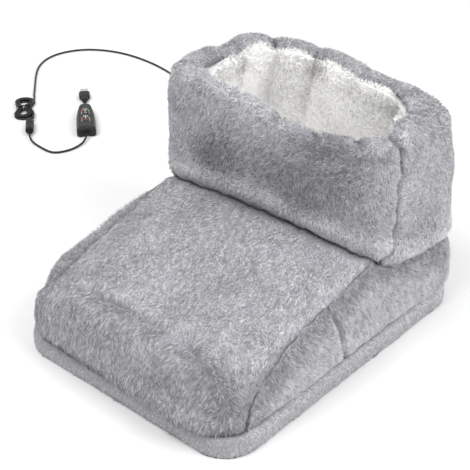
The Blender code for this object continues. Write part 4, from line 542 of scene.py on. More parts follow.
def pile(base, grid, normal, seed, cloth, comb, length=0.0054, width=0.0011, lean=0.40, unruly=0.20,
         swirl=0.8, spread=0.42, density=1.0, ring=False, tones=(0.10, 0.90), short=1, shade=0, grain=(0, 0, 0),
         clump=0.0024):
    """Pile on a piece's face: slim three-sided hairs rooted on its grid.

    They are combed along comb, which drifts in swirls. short shares their length out over the grid, shade (painted
    shade and painted highlights) is added to their tone, and their clumps, clump across, are drawn out along grain.
    """
    random = np.random.default_rng(seed)
    flat = [np.broadcast_to(np.asarray(each, float), grid.shape[:2])[..., None] for each in (short, shade, lean)]
    held = np.concatenate([grid, normal, np.broadcast_to(np.asarray(comb, float), grid.shape), *flat], axis=-1)
    if ring:
        held = np.concatenate([held, held[:1]], axis=0)
    a, b, c, d = held[:-1, :-1], held[1:, :-1], held[1:, 1:], held[:-1, 1:]
    area = np.linalg.norm(np.cross((c - a)[..., :3], (d - b)[..., :3]), axis=-1).reshape(-1) / 2
    count = int(area.sum() * HAIRS_PER_AREA * density)
    cell = np.minimum(np.searchsorted(np.cumsum(area), random.random(count) * area.sum()), len(area) - 1)
    i, j = np.unravel_index(cell, a.shape[:2])
    s, t = random.random((2, count, 1))
    low, high = a[i, j] * (1 - s) + b[i, j] * s, d[i, j] * (1 - s) + c[i, j] * s
    spot = low * (1 - t) + high * t
    root, out, drift = spot[:, :3], unit(spot[:, 3:6]), spot[:, 6:9]
    drift = drift + swirl * noise_vector(root, SWIRL_SIZE, seed + 3) + STRAY * noise_vector(root, STRAY_SIZE, seed + 9)
    drift = drift + spread * random.normal(size=(count, 3))
    drift = unit(drift - (drift * out).sum(-1, keepdims=True) * out)
    rise = spot[:, 11] + unruly * noise(root, RISE_SIZE, seed + 5) + 0.12 * random.normal(size=count)
    rise = np.clip(rise, 0.10, 1.3)[:, None]
    way = drift * np.cos(rise) + out * np.sin(rise)
    side = unit(np.cross(way, out) + 0.2 * random.normal(size=(count, 3)))
    top = np.cross(side, way)
    top = top * np.sign((top * out).sum(-1, keepdims=True))
    long = (length * spot[:, 9] * random.uniform(*LENGTHS, count))[:, None]
    wide = (width * random.uniform(*WIDTHS, count))[:, None] * 1.0
    root = root - out * ROOT_DEPTH
    points = np.stack([
        root - side * wide / 2, root + side * wide / 2, root + top * wide * 0.45, root + way * long,
    ], axis=1)
    points[..., 2] = np.maximum(points[..., 2], LOWEST)
    index = np.arange(count * 4).reshape(count, 4)
    faces = np.concatenate([index[:, [0, 2, 3]], index[:, [2, 1, 3]], index[:, [1, 0, 3]]])
    inward = np.cross(points[:, 2] - points[:, 0], points[:, 3] - points[:, 0])
    if (inward * (points[:, 0] - points[:, 1])).sum() < 0:
        faces = faces[:, ::-1]
    low, high = tones
    patch = 0.6 * noise(root, 0.018, seed + 13) + 0.4 * noise(root, 0.055, seed + 15)
    grain = np.array(grain, float)
    drawn = root - DRAWN_OUT * (root @ grain)[:, None] * grain
    own = OWN_TONE * random.uniform(-1, 1, count) + CLUMP_TONE * noise(drawn, clump, seed + 21) + PATCH_TONE * patch
    # spot[:, 10] is the painted shade and painted highlight given by the caller
    tone = (low + high) / 2 + (high - low) / 2 * own + spot[:, 10]
    # The root's corners get painted shade and the tip a painted highlight
    tone = np.clip(tone[:, None] + ROOT_SHADE_TIP_HIGHLIGHT, 0.02, 0.98)
    soft = out[:, None] + 0.25 * way[:, None] + 0.30 * np.stack([-side, side, top, 0 * top], axis=1)
    soft = unit(soft + 0.22 * random.normal(size=(count, 1, 3)))
    row = random.uniform(0.05, 0.95, count)[:, None] + np.array([-0.02, 0.02, 0.0, 0.0])
    finish, slot = cloth
    made = mesh_from(base.name + "_pile", points.reshape(-1, 3), [faces], FINISHES[finish], tone,
                     soft.reshape(-1, 3), np.stack([tone, row], axis=-1).reshape(-1, 2))
    made.parent = base
    return made


def finish_panel(piece, nodes):
    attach(piece, "boot")
    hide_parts(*nodes)


# The boot's surfaces

def seam_and_crown(v):
    """The vamp's edge line and crown line at shares v of the way from the toe to the collar, as (y, z)."""
    ends = (
        ((TOE_Y + TOE_SEAM_SETBACK, WALL_BASE), (CORNER_Y, SIDE_SEAM_HEIGHT)),
        ((TOE_Y + WALL_SET_IN, WALL_BASE), (COLLAR_FRONT_Y, SIDE_SEAM_HEIGHT + VAMP_CROWN)),
    )
    shares = through(SEAM_SHARES, v), through(CROWN_SHARES, v)
    return [start + share * (end - start) for share, (start, end) in zip(shares, np.array(ends))]


def vamp_surface(u, v):
    """Points of the vamp at u from -1 to 1 across and v from 0 to 1 up."""
    seam, crown = seam_and_crown(v)
    u = np.asarray(u)
    y = seam[..., 0] + (crown[..., 0] - seam[..., 0]) * (1 - np.abs(u) ** PLAN_POWER)
    z = seam[..., 1] + (crown[..., 1] - seam[..., 1]) * (1 - np.abs(u) ** CROWN_POWER)
    return xyz(u * SEAM_HALF, y, z)


def wall_track(set_in, far):
    """Points and outward directions on the right wall, far metres on from the collar's corner towards the back."""
    side_x = HALF_WIDTH - set_in
    turn_y, turn_x = HEEL_Y - set_in - HEEL_RADIUS, side_x - HEEL_RADIUS
    straight, arc = turn_y - CORNER_Y, HEEL_RADIUS * math.pi / 2
    turn = np.clip((far - straight) / HEEL_RADIUS, 0, math.pi / 2)
    beyond = np.maximum(far - straight - arc, 0)
    out = xyz(np.cos(turn), np.sin(turn))
    x = turn_x + HEEL_RADIUS * out[..., 0] - beyond
    y = turn_y + HEEL_RADIUS * out[..., 1] + np.minimum(far - straight, 0)
    return xyz(x, y), out


def track_length(set_in):
    """How long the right wall's straight side, its rounded corner and its half of the back are."""
    straight = HEEL_Y - set_in - HEEL_RADIUS - CORNER_Y
    return straight, HEEL_RADIUS * math.pi / 2, HALF_WIDTH - set_in - HEEL_RADIUS


def back_seam_height(y):
    share = np.clip((y - CORNER_Y) / (0.45 * (HEEL_Y - COLLAR_FRONT_Y)), 0, 1)
    return SIDE_SEAM_HEIGHT - BACK_SEAM_DROP * share * (2 - share)


def vamp_share(w):
    """The vamp's own share v beside the wall's w."""
    return 0.1 + 0.9 * np.clip(w, 0, 1)


def wall_lines(w):
    """The right wall's bottom and top lines and its outward way. w runs 0 to 1 along the vamp, 1 to 2 to the back."""
    ahead = np.clip(w, 0, 1)
    seam, _ = seam_and_crown(vamp_share(w))
    side = np.minimum(2 * ahead, 1)
    start_y = TOE_Y + TOE_SEAM_SETBACK
    x = SEAM_HALF + (SEAM_SET_IN - WALL_SET_IN) * np.sin(side * math.pi / 2)
    low = xyz(x, start_y + (CORNER_Y - start_y) * ahead, WALL_BASE)
    high = xyz(SEAM_HALF, seam[..., 0], seam[..., 1])
    out = xyz(side, 0, 0)
    behind, share = w > 1, np.clip(w - 1, 0, 1)
    foot, foot_out = wall_track(WALL_SET_IN, share * sum(track_length(WALL_SET_IN)))
    head, _ = wall_track(SEAM_SET_IN, share * sum(track_length(SEAM_SET_IN)))
    low[behind] = raised(foot, WALL_BASE)[behind]
    high[behind] = raised(head, back_seam_height(head[..., 1]))[behind]
    out[behind] = raised(foot_out, 0)[behind]
    return low, high, out


def wall_surface(w, t):
    low, high, out = wall_lines(w)
    t = t[None, :, None]
    return low[:, None] + (high - low)[:, None] * t + out[:, None] * SIDE_BULGE * 4 * t * (1 - t)


def rim_points(direction):
    """The rim's outline and its way in, on rays from the collar's middle."""
    half = np.array([RIM_HALF, RIM_DEPTH_HALF])
    ray = direction / np.hypot(direction[..., 0], direction[..., 1])[..., None]
    reach = (((np.abs(ray) / half) ** RIM_POWER).sum(-1) ** (-1 / RIM_POWER))[..., None]
    out = unit(np.sign(ray) * (np.abs(ray) * reach / half) ** (RIM_POWER - 1) / half)
    return ray * reach + [0, RIM_MIDDLE_Y], -out


# How many points the seam's table has in front and from the corner to the middle of the back
FRONT_COUNT, BACK_COUNT = 200, 300


def collar_table():
    """The collar's seam round its foot from the middle front: distance, place and way in, on the right half."""
    u = np.linspace(0, 1, FRONT_COUNT)
    front = vamp_surface(u, np.ones_like(u))
    far = np.linspace(0, sum(track_length(SEAM_SET_IN)), BACK_COUNT)[1:]
    track, out = wall_track(SEAM_SET_IN, far)
    foot = np.concatenate([front, raised(track, back_seam_height(track[:, 1]))])
    return lengths_along(foot), foot, np.concatenate([xyz(-u, 1, -1), raised(-out, 0)])


COLLAR_FAR, COLLAR_FOOT, COLLAR_IN = collar_table()
COLLAR_BACK = COLLAR_FAR[-1]

ALONG_SIDE = slice(FRONT_COUNT - 1, FRONT_COUNT + 140)  # the table's points on the straight side
UPRIGHT_FAR = float(np.interp(UPRIGHT_SEAM_Y, COLLAR_FOOT[ALONG_SIDE, 1], COLLAR_FAR[ALONG_SIDE]))


def collar_column(p):
    """Foot, way in, head and way in there at p metres round the collar from its middle front, left negative."""
    far, side = np.abs(p), np.where(p < 0, -1.0, 1.0)
    foot, way = rows_at(far, COLLAR_FAR, COLLAR_FOOT), rows_at(far, COLLAR_FAR, COLLAR_IN)
    foot[..., 0] *= side
    way[..., 0] *= side
    head, head_in = rim_points(foot[..., :2] - [0, RIM_MIDDLE_Y])
    return foot, way, head, head_in


# How far the front rim stands above its level, left to right
FRONT_RIM_LEVELS = (
    (-0.150, -0.001), (-0.110, 0.002), (-0.080, 0.002), (-0.028, -0.001), (0.005, -0.008), (0.030, -0.014),
    (0.050, -0.016), (0.074, -0.014), (0.098, -0.013), (0.125, -0.010), (0.150, -0.007),
)


# How far the rim's rear right corner leans in and its back forward, and how far down or up its parts go
CORNER_IN, BACK_IN = 0.008, 0.007
BACK_SAG, CORNER_SAG, LEFT_RISE, BEHIND_SAG = 0.008, 0.010, 0.005, 0.008
# Two short dips at the back: how deep, and each one's x, its width, and the y between which it sets in
RIM_DIP, RIM_DIPS = 0.0045, ((-0.128, 0.022, 0.10, 0.14), (0.112, 0.018, 0.12, 0.16))


def slump(points, h):
    """Lets the collar's rear right sag forward and down, and its front rim run lower towards the right."""
    x, y = points[..., 0], points[..., 1]
    top = ease(0.35, 1, h)
    back = ease(-0.05, 0.06, x) * ease(0.09, 0.17, y) * top
    front = ease(0.12, 0.05, y) * top
    level = np.interp(x, *zip(*FRONT_RIM_LEVELS))
    corner = ease(0.10, 0.145, x) * ease(0.08, 0.14, y) * top
    left = ease(-0.10, -0.14, x) * top
    behind = left * bell(y - 0.118, 0.022)
    points[..., 0] -= CORNER_IN * corner
    points[..., 1] -= BACK_IN * back
    for middle, width, start, end in RIM_DIPS:
        points[..., 2] -= RIM_DIP * bell(x - middle, width) * ease(start, end, y) * top
    sag = BACK_SAG * back + CORNER_SAG * corner - LEFT_RISE * left + BEHIND_SAG * behind
    points[..., 2] += front * level - sag + 0.0012 * noise(points, 0.05, 7) * top
    return points


# Once round the rim, and where it is gathered, in metres round the collar from its middle front
RIM_ROUND = 2 * 0.43541
GATHERS = np.array([
    -0.384, -0.317, -0.258, -0.205, -0.150, -0.100, -0.045, 0.015, 0.070, 0.125, 0.175, 0.222, 0.273, 0.345, 0.417,
    RIM_ROUND - 0.384,
])


def from_gather(p):
    """The share of the way from one gather to the next, and the nearest gather's distance, at p round the collar."""
    turned = np.where(p < GATHERS[0], p + 2 * COLLAR_BACK, p)
    k = np.clip(np.searchsorted(GATHERS, turned) - 1, 0, len(GATHERS) - 2)
    share = (turned - GATHERS[k]) / (GATHERS[k + 1] - GATHERS[k])
    return share, np.minimum(share, 1 - share) * (GATHERS[k + 1] - GATHERS[k])


def collar_wall(p, depth, h):
    """Points in the collar's wall and its outward way: h from 0 at its seam to 1 where the rim's roll starts."""
    foot, way, head, head_in = collar_column(p)
    depth, h = np.asarray(depth)[..., None], np.asarray(h)[..., None]
    low, high = foot + depth * way, raised(head + depth * head_in, ROLL_BASE)
    out = raised(-head_in, 0)
    return slump(low + (high - low) * h + out * COLLAR_BULGE * 4 * h * (1 - h), h[..., 0]), out


# The rim's thickness, and how much more it has at its corners, along its rear right and at its left
RIM_THICK, CORNERS_MORE, RIGHT_MORE, LEFT_MORE = 0.0195, 0.014, 0.013, 0.006


def rim_thickness(p):
    """How thick the rim's roll is: more at the corners, so that the opening is rounder than the collar."""
    _, _, head, _ = collar_column(p)
    x, y = head[..., 0], head[..., 1]
    corner = np.abs(x / RIM_HALF) * np.abs((y - RIM_MIDDLE_Y) / RIM_DEPTH_HALF)
    side = RIGHT_MORE * ease(0.05, 0.13, x) * ease(0.05, 0.10, y) + LEFT_MORE * ease(-0.08, -0.13, x)
    return RIM_THICK + CORNERS_MORE * ease(0.45, 0.95, corner) + side


def rim_way(p, out):
    """Which way the rim's roll and the lining stand out from the opening: between the wall's own and the middle's."""
    _, _, head, _ = collar_column(p)
    return unit(0.3 * out + 0.7 * unit(raised(head - [0, RIM_MIDDLE_Y], 0)))


def collar_panel(p, q):
    """The collar's plush: q from 0 to 1 up the wall, and 1 to 2 over the rim's roll."""
    wall, out = collar_wall(p, 0 * p, np.clip(q, 0, 1))
    turn = np.clip(q - 1, 0, 1) * math.radians(172)
    pinch = bell(from_gather(p)[1], 0.006) * np.clip((q - 0.8) / 0.9, 0, 1)
    across = rim_thickness(p) / 2 * (1 - np.cos(turn))
    wall = wall - rim_way(p, out) * across[..., None]
    wall[..., 2] += (RIM_ROLL_RADIUS - PILE_STANDS) * np.sin(turn) * (1 - 0.35 * pinch) - 0.0025 * pinch
    return wall


# Where the vamp creases across its toe, and where it hollows and puckers towards its right toe corner
VAMP_CREASE = ((-0.0800, -0.1540, 0.0800), (-0.0547, -0.1578, 0.0804), (-0.0284, -0.1556, 0.0817),
               (-0.0007, -0.1548, 0.0821), (0.0356, -0.1575, 0.0807), (0.0714, -0.1603, 0.0788))
TOE_HOLLOW = ((0.0714, -0.1603, 0.0788), (0.0996, -0.1704, 0.0704), (0.1124, -0.1715, 0.0660),
              (0.1230, -0.1734, 0.0534), (0.1258, -0.1760, 0.0380))

# How far the vamp puffs out, its lumps, the tuft that hides its seams, what marks its face, and the painted shade and
# highlight in its pile's tone
VAMP_PUFF, VAMP_LUMPS, VAMP_TUFT = 0.0022, ((0.0022, 0.075, 3), (0.0009, 0.028, 4)), 0.0026
VAMP_LIFTS = (
    (-0.0036, "crease", 0, 0.0038, "strength"), (0.0004, "crease", 0.014, 0.008), (-0.0050, "hollow", 0, 0.0130),
    (0.0145, "up", 0.040, 0.026, "corner"), (1, "up", 0.011, 0.009, "toe"),
)
# Painted shade in the crease, the hollow, the seams and under the collar's overhang, and a painted highlight on the
# ridge beside the crease
VAMP_SHADES = (
    (-0.44, "dark crease", 0, 0.0030, "dark"), (-0.24, "hollow", 0, 0.015), (0.10, "crease", 0.012, 0.006),
    (-0.60, "seams", 0, 0.0034), (-0.30, "from_top", 0, 0.0090, "under"),
)


def over_shoulder(v):
    """How far in from the left edge, as a share of half the width, the left seam runs over the shoulder."""
    return 0.085 * ease(0.10, 0.22, v) * ease(1.0, 0.72, v)


def make_vamp():
    """The cover over both feet, from the collar's seam down round the toe to the band."""
    fine = np.linspace(0, 1, 500)
    seam, crown = seam_and_crown(fine)
    v = evenly((seam + crown) / 2, fine, STEP)
    t = np.linspace(-1, 1, int(BOOT_WIDTH / STEP) + 1)
    u = 0.75 * t + 0.25 * np.sin(t * math.pi / 2)
    u = u[:, None] + over_shoulder(v)[None, :] * np.clip(-u, 0, 1)[:, None] ** 2
    base = vamp_surface(u, v[None, :])
    normal = normals_of(base, base - np.array([0, 0, 0.02]))
    up = lengths_along(base[len(t) // 2])[None, :] + 0 * u
    from_side = np.where(u < 0, u - u[:1], u[-1:] - u) * SEAM_HALF
    from_top = up[0, -1] - up
    crease, along = from_line(base, VAMP_CREASE)
    hollow, along_hollow = from_line(base, TOE_HOLLOW)
    strength = np.sin(math.pi * np.clip(along, 0.03, 0.97)) ** 0.4 * (1 - 0.62 * ease(0.30, 0.62, along))
    loose = ease(-0.03, 0.03, base[..., 0]) * ease(0.146, 0.120, base[..., 0])
    hung = loose * ease(0.020, 0.004, up)
    corner = bell(u + 0.92, 0.20)
    tuft = VAMP_TUFT * noise(base, 0.006, 14)
    fields = {
        "up": up, "from_top": from_top, "crease": crease, "hollow": hollow, "strength": strength, "corner": corner,
        "toe": (0.0085 + 0.0036 * noise(base, 0.026, 5)) * (1 - 0.9 * corner),
        "dark crease": crease + 0.0012 * noise(base, 0.008, 16), "dark": strength ** 1.5,
        "seams": np.minimum(from_side, from_top + 0.0006) + tuft, "under": bell(base[..., 0] + 0.020, 0.060, 4),
    }
    lift = VAMP_PUFF * ease(0, 0.05, from_side) * ease(0, 0.06, from_top) - PILE_STANDS
    lift = lift + lumps(base, VAMP_LUMPS) + relief(VAMP_LIFTS, fields)
    lift = lift + 0.0030 * corner * ease(0.75, 0.95, v)[None, :]
    shape = sewn(
        base, normal, lift,
        (from_side, 0.010 + 0.0045 * noise(base, 0.010, 11), 0.7 * SEAM_DEPTH * xyz(-np.sign(u) + 0 * up, 0, -1)),
        (from_top, 0.011, FOOT_SEAM_DEPTH * np.array([0, 0.8, -0.5])),
        (up, 0.007, -SEAM_DEPTH * (1 - 0.45 * loose[..., None]) * level_way(normal + [0, -0.01, 0])),
    )
    inner = (base - normal * WADDING_DEPTH)[:, ::max(len(v) // 12, 1)]
    piece = shell("vamp", shape, inner, "plush_ground")
    finish_panel(piece, ("vamp_panel", "vamp_wadding"))
    comb = np.array([0.50, -0.95, -0.42]) - 1.2 * UP * hung[..., None]
    comb = comb + 1.8 * away_from(base, VAMP_CREASE, along) * bell(crease, 0.016)[..., None]
    comb = comb + 1.4 * away_from(base, TOE_HOLLOW, along_hollow) * bell(hollow, 0.022)[..., None]
    edge = np.minimum(np.minimum(from_side, from_top), up + 0.008)
    # Painted shade: VAMP_SHADES, and the toe's pile darkened towards its foot
    pile(piece, shape, normals_of(shape, normal), 20, PLUSH, comb, swirl=0.32, unruly=0.14, spread=0.34,
         grain=(0.43, -0.83, -0.36), clump=0.0016, shade=relief(VAMP_SHADES, fields) - 0.17 * ease(0.11, 0.03, up),
         short=cut_short(edge + 2 * tuft) * (1 + 0.5 * hung),
         lean=0.38 + 0.30 * bell(np.minimum(crease, hollow), 0.012))


# The right side's upright crease and the shorter pleat beside it, and what they and the band's edge mark: on the pile's
# tone, painted shade in the crease and painted highlights beside it and along the panel's low edge
SIDE_CREASE = ((0.1442, -0.0401, 0.0969), (0.1481, -0.0322, 0.0702), (0.1479, -0.0207, 0.0372),
               (0.1462, -0.0151, 0.0234))
SIDE_PLEAT = ((0.1483, -0.0269, 0.0438), (0.1463, -0.0290, 0.0240))
SIDE_LIFTS = ((-0.0042, "crease", 0, 0.0034), (0.0016, "crease", 0.010, 0.007), (-0.0022, "pleat", 0, 0.0034))
SIDE_SHADES = ((-0.30, "crease", 0, 0.0022), (0.12, "crease", 0.007, 0.004), (0.30, "low", 0, 0.0040))

# The same numbers for every wall, and how much further the left one stands out beside the toe and the heel behind
WALL_PUFF, WALL_LUMPS, WALL_TUFT = 0.0030, ((0.0024, 0.060, 0), (0.0010, 0.026, 1)), 0.0028
WALL_FOOT, WALL_FOOT_LUMPS, LEFT_TOE, LEFT_FRONT, HEEL_MORE = 0.0030, 0.0016, 0.0060, 0.0030, 0.0034


def make_wall(name, side, start, end, nodes, seed):
    """One plush panel of the lower wall, from start to end as wall_lines has them.

    side is 1 for the right panel, -1 for the left and 0 for the heel.
    """
    fine = np.linspace(start, end, 600)
    w = evenly(wall_lines(fine)[0], fine, STEP)
    base = wall_surface(w, np.linspace(0, 1, int(0.092 / STEP) + 1))
    mirrored = base * np.array([-1, 1, 1])
    if side == 0:
        base = np.concatenate([base, mirrored[-2::-1]])
    elif side < 0:
        v, rows = vamp_share(w), np.linspace(0, 1, 7)[None, 1:]
        over = vamp_surface(-1 + (over_shoulder(v)[:, None] + 0.002) * rows, v[:, None])
        over[w > 1] = mirrored[w > 1, -1:] + (0.0003 * rows)[..., None] * UP
        base = np.concatenate([mirrored, over], axis=1)
    normal = normals_of(base, base - np.array([0, 0.02, 0.05]))
    low = np.stack([lengths_along(column) for column in base])
    top = low[:, -1:] - low
    along = lengths_along(base[:, 0])[:, None] + 0 * low
    ends = np.minimum(along if start > 0 else 1 + 0 * along, along[-1:] - along)
    lift = WALL_PUFF * ease(0, 0.035, top) * ease(0, 0.03, low) - PILE_STANDS + lumps(base, WALL_LUMPS, seed)
    lift = lift + (WALL_FOOT + WALL_FOOT_LUMPS * noise(base, 0.022, seed + 2)) * bell(low - 0.011, 0.009)
    if side < 0:
        lift = lift + (LEFT_TOE * ease(0.50, 0.15, w) + LEFT_FRONT * bell(w - 0.32, 0.10))[:, None]
    lift = lift + HEEL_MORE * ease(1.1, 1.5, np.concatenate([w, w[-2::-1]]) if side == 0 else w)[:, None]
    edge = np.minimum(np.minimum(top, low + 0.006), ends)
    # Painted shade darkening the pile towards the top seam, and a painted highlight on the low roll
    shade = -0.24 * ease(0.034, 0.006, top) + 0.10 * ease(0.045, 0.010, low)
    if side > 0:
        crease = from_line(base, SIDE_CREASE)[0] + 0.0010 * noise(base, 0.009, seed + 4)
        fields = {"crease": crease, "pleat": from_line(base, SIDE_PLEAT)[0], "low": low}
        lift, shade = lift + relief(SIDE_LIFTS, fields), shade + relief(SIDE_SHADES, fields)
        edge = np.minimum(edge, crease + 0.002)
    tuft = WALL_TUFT * noise(base, 0.007, seed + 5)
    # Painted shade along the seams at the top and the ends
    shade = shade - 0.56 * bell(np.minimum(top, ends) + tuft, 0.0038)
    room = np.clip(low[:, -1:] / 0.02, 0.15, 1)
    room3, out = room[..., None], level_way(normal)
    ahead = (w <= 1)[:, None, None] if side else np.zeros((len(base), 1, 1), dtype=bool)
    top_tuck = np.where(ahead, SEAM_DEPTH * 0.7 * np.array([-side, 0, -1.0]), foot_tuck(base, out))
    shape = sewn(
        base, normal, lift * room, (top, room * (0.010 + 0.0040 * noise(base, 0.009, seed + 7)), top_tuck * room3),
        (low, 0.007 * room, -0.5 * SEAM_DEPTH * out * room3), (ends, 0.009, -SEAM_DEPTH * 0.8 * out * room3),
    )
    inner = (base - normal * WADDING_DEPTH * np.clip(low[:, -1:] / 0.03, 0.1, 1)[..., None])[:, ::6]
    piece = shell(name, shape, inner, "plush_ground")
    finish_panel(piece, nodes)
    pile(piece, shape, normals_of(shape, normal), seed + 30, PLUSH, (0, 0.25, -0.9), swirl=0.6,
         lean=0.40 + 0.25 * ease(0.040, 0.010, top), grain=(0, 0.27, -0.96), clump=0.0020,
         short=cut_short(edge + 2 * tuft), shade=shade)


# Where the collar's front pile has been brushed up and looks darker, partly by its own nap and partly by painted shade,
# and what marks its face and its pile's tone: painted highlights beside the panel ends and on the low roll above the
# seam, painted shade at the seam and in the gathers
COLLAR_BRUSHED = ((-0.0568, 0.017, 0.167), (-0.0055, 0.017, 0.167), (0.0452, 0.017, 0.1678), (0.0910, 0.0196, 0.205))
COLLAR_PUFF, COLLAR_LUMPS = 0.0026, ((0.0030, 0.065, 0), (0.0012, 0.028, 1))
COLLAR_LIFTS = (
    (1, "up", 0.015, 0.011, "foot"), (1, "ends", 0, 0.014, "puckers"), (-0.0035, "up", 0.045, 0.040, "left"),
    (0.0040, "up", 0.025, 0.030, "rear"),
)
COLLAR_SHADES = (
    (0.10, "ends", 0.008, 0.006), (0.34, "up", 0.017, 0.013), (-0.40, "edge", 0, 0.0035),
    (-0.45, "gather", 0, 0.0030, "roll"),
)


def make_collar(name, start, end, nodes, depth, seed):
    """A plush panel of the collar, from start to end metres round it, and over its rim."""
    in_front = start < 0
    share = np.linspace(0, 1, int((end - start) / STEP) + 1)
    q = np.concatenate([np.linspace(0.003, 1, int(0.125 / STEP)), np.linspace(1, 2, int(0.040 / STEP))[1:]])
    forward = 0.016 * (1 - ease(0.0, 0.11, q)) + 0.0020 * np.sin(q * 13) + 0.0010 * np.sin(q * 31)
    forward = -forward if in_front else forward
    low, high = start - forward, end + forward
    p = low[None, :] + (high - low)[None, :] * share[:, None]
    around = np.where(p > COLLAR_BACK, p - 2 * COLLAR_BACK, p)
    q = q[None, :] + 0 * p
    base = collar_panel(around, q)
    normal = normals_of(base, base - np.array([0, RIM_MIDDLE_Y, 0.17]))
    x, y = base[..., 0], base[..., 1]
    up = np.stack([lengths_along(column) for column in base])
    ends = np.minimum(p - p[:1], p[-1:] - p)
    calm = ease(1.5, 1.0, q)
    over, left = bell(x + 0.015, 0.070, 4) * (y < 0.03), ease(-0.09, -0.13, x)
    brushed = ease(0.055, 0.015, from_line(base, COLLAR_BRUSHED)[0])
    fields = {
        "up": up, "ends": ends, "left": left, "rear": ease(0.06, 0.12, x) * ease(0.08, 0.13, y),
        "foot": (0.0045 + 0.0026 * noise(base, 0.026, seed + 2) + 0.0030 * over) * (1 - 0.85 * left),
        "puckers": 0.0024 * noise(base, 0.013, seed + 3), "gather": from_gather(around)[1],
        "roll": ease(1.10, 1.40, q), "edge": np.minimum(up + 0.002, ends + 0.02 * ease(1.1, 1.4, q)),
    }
    lift = COLLAR_PUFF * ease(0, 0.04, up) * calm - PILE_STANDS * ease(1.9, 1.1, q) + relief(COLLAR_LIFTS, fields)
    lift = lift + lumps(base, COLLAR_LUMPS, seed) * (0.35 + 0.65 * calm)
    out = level_way(collar_wall(around, 0 * around, np.clip(q, 0, 1))[1])
    tucked = -out * (SEAM_DEPTH * 0.8 * ease(1.6, 1.0, q))[..., None] - UP * (0.004 * ease(1.0, 1.4, q))[..., None]
    shape = sewn(
        base, normal, lift, (up, 0.012 + 0.003 * noise(base, 0.020, seed + 7), foot_tuck(base, out)),
        (ends, 0.010 + 0.003 * noise(base, 0.013, seed + 8), tucked),
    )
    inner = [collar_wall(around[:, int(np.argmin(np.abs(q[0] - h)))], depth + 0 * share, h + 0 * share)[0]
             for h in (0.003, 0.22, 0.45, 0.68, 0.90)]
    piece = shell(name, shape, np.stack(inner, axis=1), "plush_ground")
    finish_panel(piece, nodes)
    # Painted light on the pile's tone: COLLAR_SHADES, painted shade where it is brushed up, and a painted highlight on
    # the rim's roll
    shade = relief(COLLAR_SHADES, fields) - 0.20 * brushed + 0.10 * ease(0.75, 1.1, q)
    # In front: painted shade on the rim's roll towards the right, where the lamps fall on it, and on the left part.
    # Behind: the whole panel painted lighter, with painted shade on top of its roll
    if in_front:
        shade = shade - 0.30 * ease(0.80, 1.05, q) * ease(0.00, 0.06, x) - 0.05 * left
    else:
        shade = shade + 0.05 - 0.17 * ease(0.85, 1.1, q)
    pile(piece, shape, normals_of(shape, normal), seed + 30, PLUSH, (0, 0, -0.55), swirl=0.8 if in_front else 0.5,
         lean=0.46 + (0.36 * brushed if in_front else 0), unruly=0.26, spread=0.65, density=1.0 if in_front else 0.92,
         short=0.35 + 0.65 * ease(0, 0.010, fields["edge"]), shade=shade)


# How firmly the sherpa folds at places round the rim
LINING_FOLDS = (
    (0, 0.205, 0.273, 0.309, 0.345, 0.381, 0.417, 0.452, 0.487, 0.54, 0.70, 0.871),
    (0.5, 0.7, 1.0, 0.8, 1.0, 0.6, 0.35, 0.6, 1.0, 0.4, 0.5, 0.5),
)
# How far the sherpa swells between folds, and how far its top edge lies lower at the right, in front and at both
LINING_SWELL, RIGHT_LOWER, FRONT_LOWER, CORNER_LOWER = 0.0130, 0.012, 0.010, 0.006
SHERPA_HAIRS = {"width": 0.0015, "swirl": 1.2, "spread": 0.9, "density": 0.70, "clump": 0.0018}


def make_shaft_lining():
    """The sherpa inside the collar, puffed out between the rim's gathers."""
    p = np.linspace(-COLLAR_BACK, COLLAR_BACK, int(2 * COLLAR_BACK / STEP) + 1)[:-1]
    p, r = np.meshgrid(p, np.linspace(0, 1, int(0.150 / STEP)), indexing="ij")
    h = 0.002 + 1.03 * r
    base, out = collar_wall(p, 0 * p, np.minimum(h, 1))
    share, _ = from_gather(p + (0.010 * noise(base, 0.09, 60) - 0.024) * (1 - r))
    firm = np.interp(p % (2 * COLLAR_BACK), *LINING_FOLDS)
    puff = 1 - firm * (1 - np.sin(math.pi * np.clip(share, 0, 1)) ** 0.95)
    body = ease(0, 0.25, r)
    crown = np.sqrt(np.clip(1 - np.clip((r - 0.86) / 0.14, 0, 1) ** 2, 0, 1))
    reach = LINING_DEPTH + (rim_thickness(p) - 0.0215) * ease(0.3, 1, r)
    swell = (0.0005 + LINING_SWELL * puff * body) * crown
    shape = base - rim_way(p, out) * (reach + swell + 0.0020 * noise(base, 0.035, 61) * body)[..., None]
    x, rear, top = base[..., 0], ease(0.065, 0.115, base[..., 1]), ease(0.6, 1, r)
    shape[..., 2] += np.maximum(h - 1, 0) * 0.03 * rear + 0.0060 * (puff - 0.8) * ease(0.7, 1, r)
    front_lower = (FRONT_LOWER + CORNER_LOWER * ease(0.05, 0.09, x)) * (1 - rear)
    shape[..., 2] -= (RIGHT_LOWER * ease(0.06, 0.12, x) + front_lower) * top
    outer = collar_wall(p, WADDING_DEPTH + 0.0004 + 0 * p, np.minimum(h, 0.93))[0][:, ::12]
    piece = shell("shaft_lining", shape, outer, "sherpa_ground", ring=True)
    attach(piece, "boot")
    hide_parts("collar_lining")
    # The sherpa's shade is painted: darker in the folds between its swells and a little lighter on them, and darker
    # along its top edge, where the lamps fall most
    pile(piece, shape, normals_of(shape, -out, ring=True), 66, SHERPA, (0, 0, 0.3), length=0.0034, ring=True,
         lean=0.28 + 0.50 * ease(0.76, 0.95, r), unruly=0.12, tones=(0.70, 0.96),
         short=1 + 0.5 * ease(0.80, 0.95, r) * rear,
         shade=0.62 * (puff - 0.88) * body - 0.46 * ease(0.80, 0.97, r), **SHERPA_HAIRS)


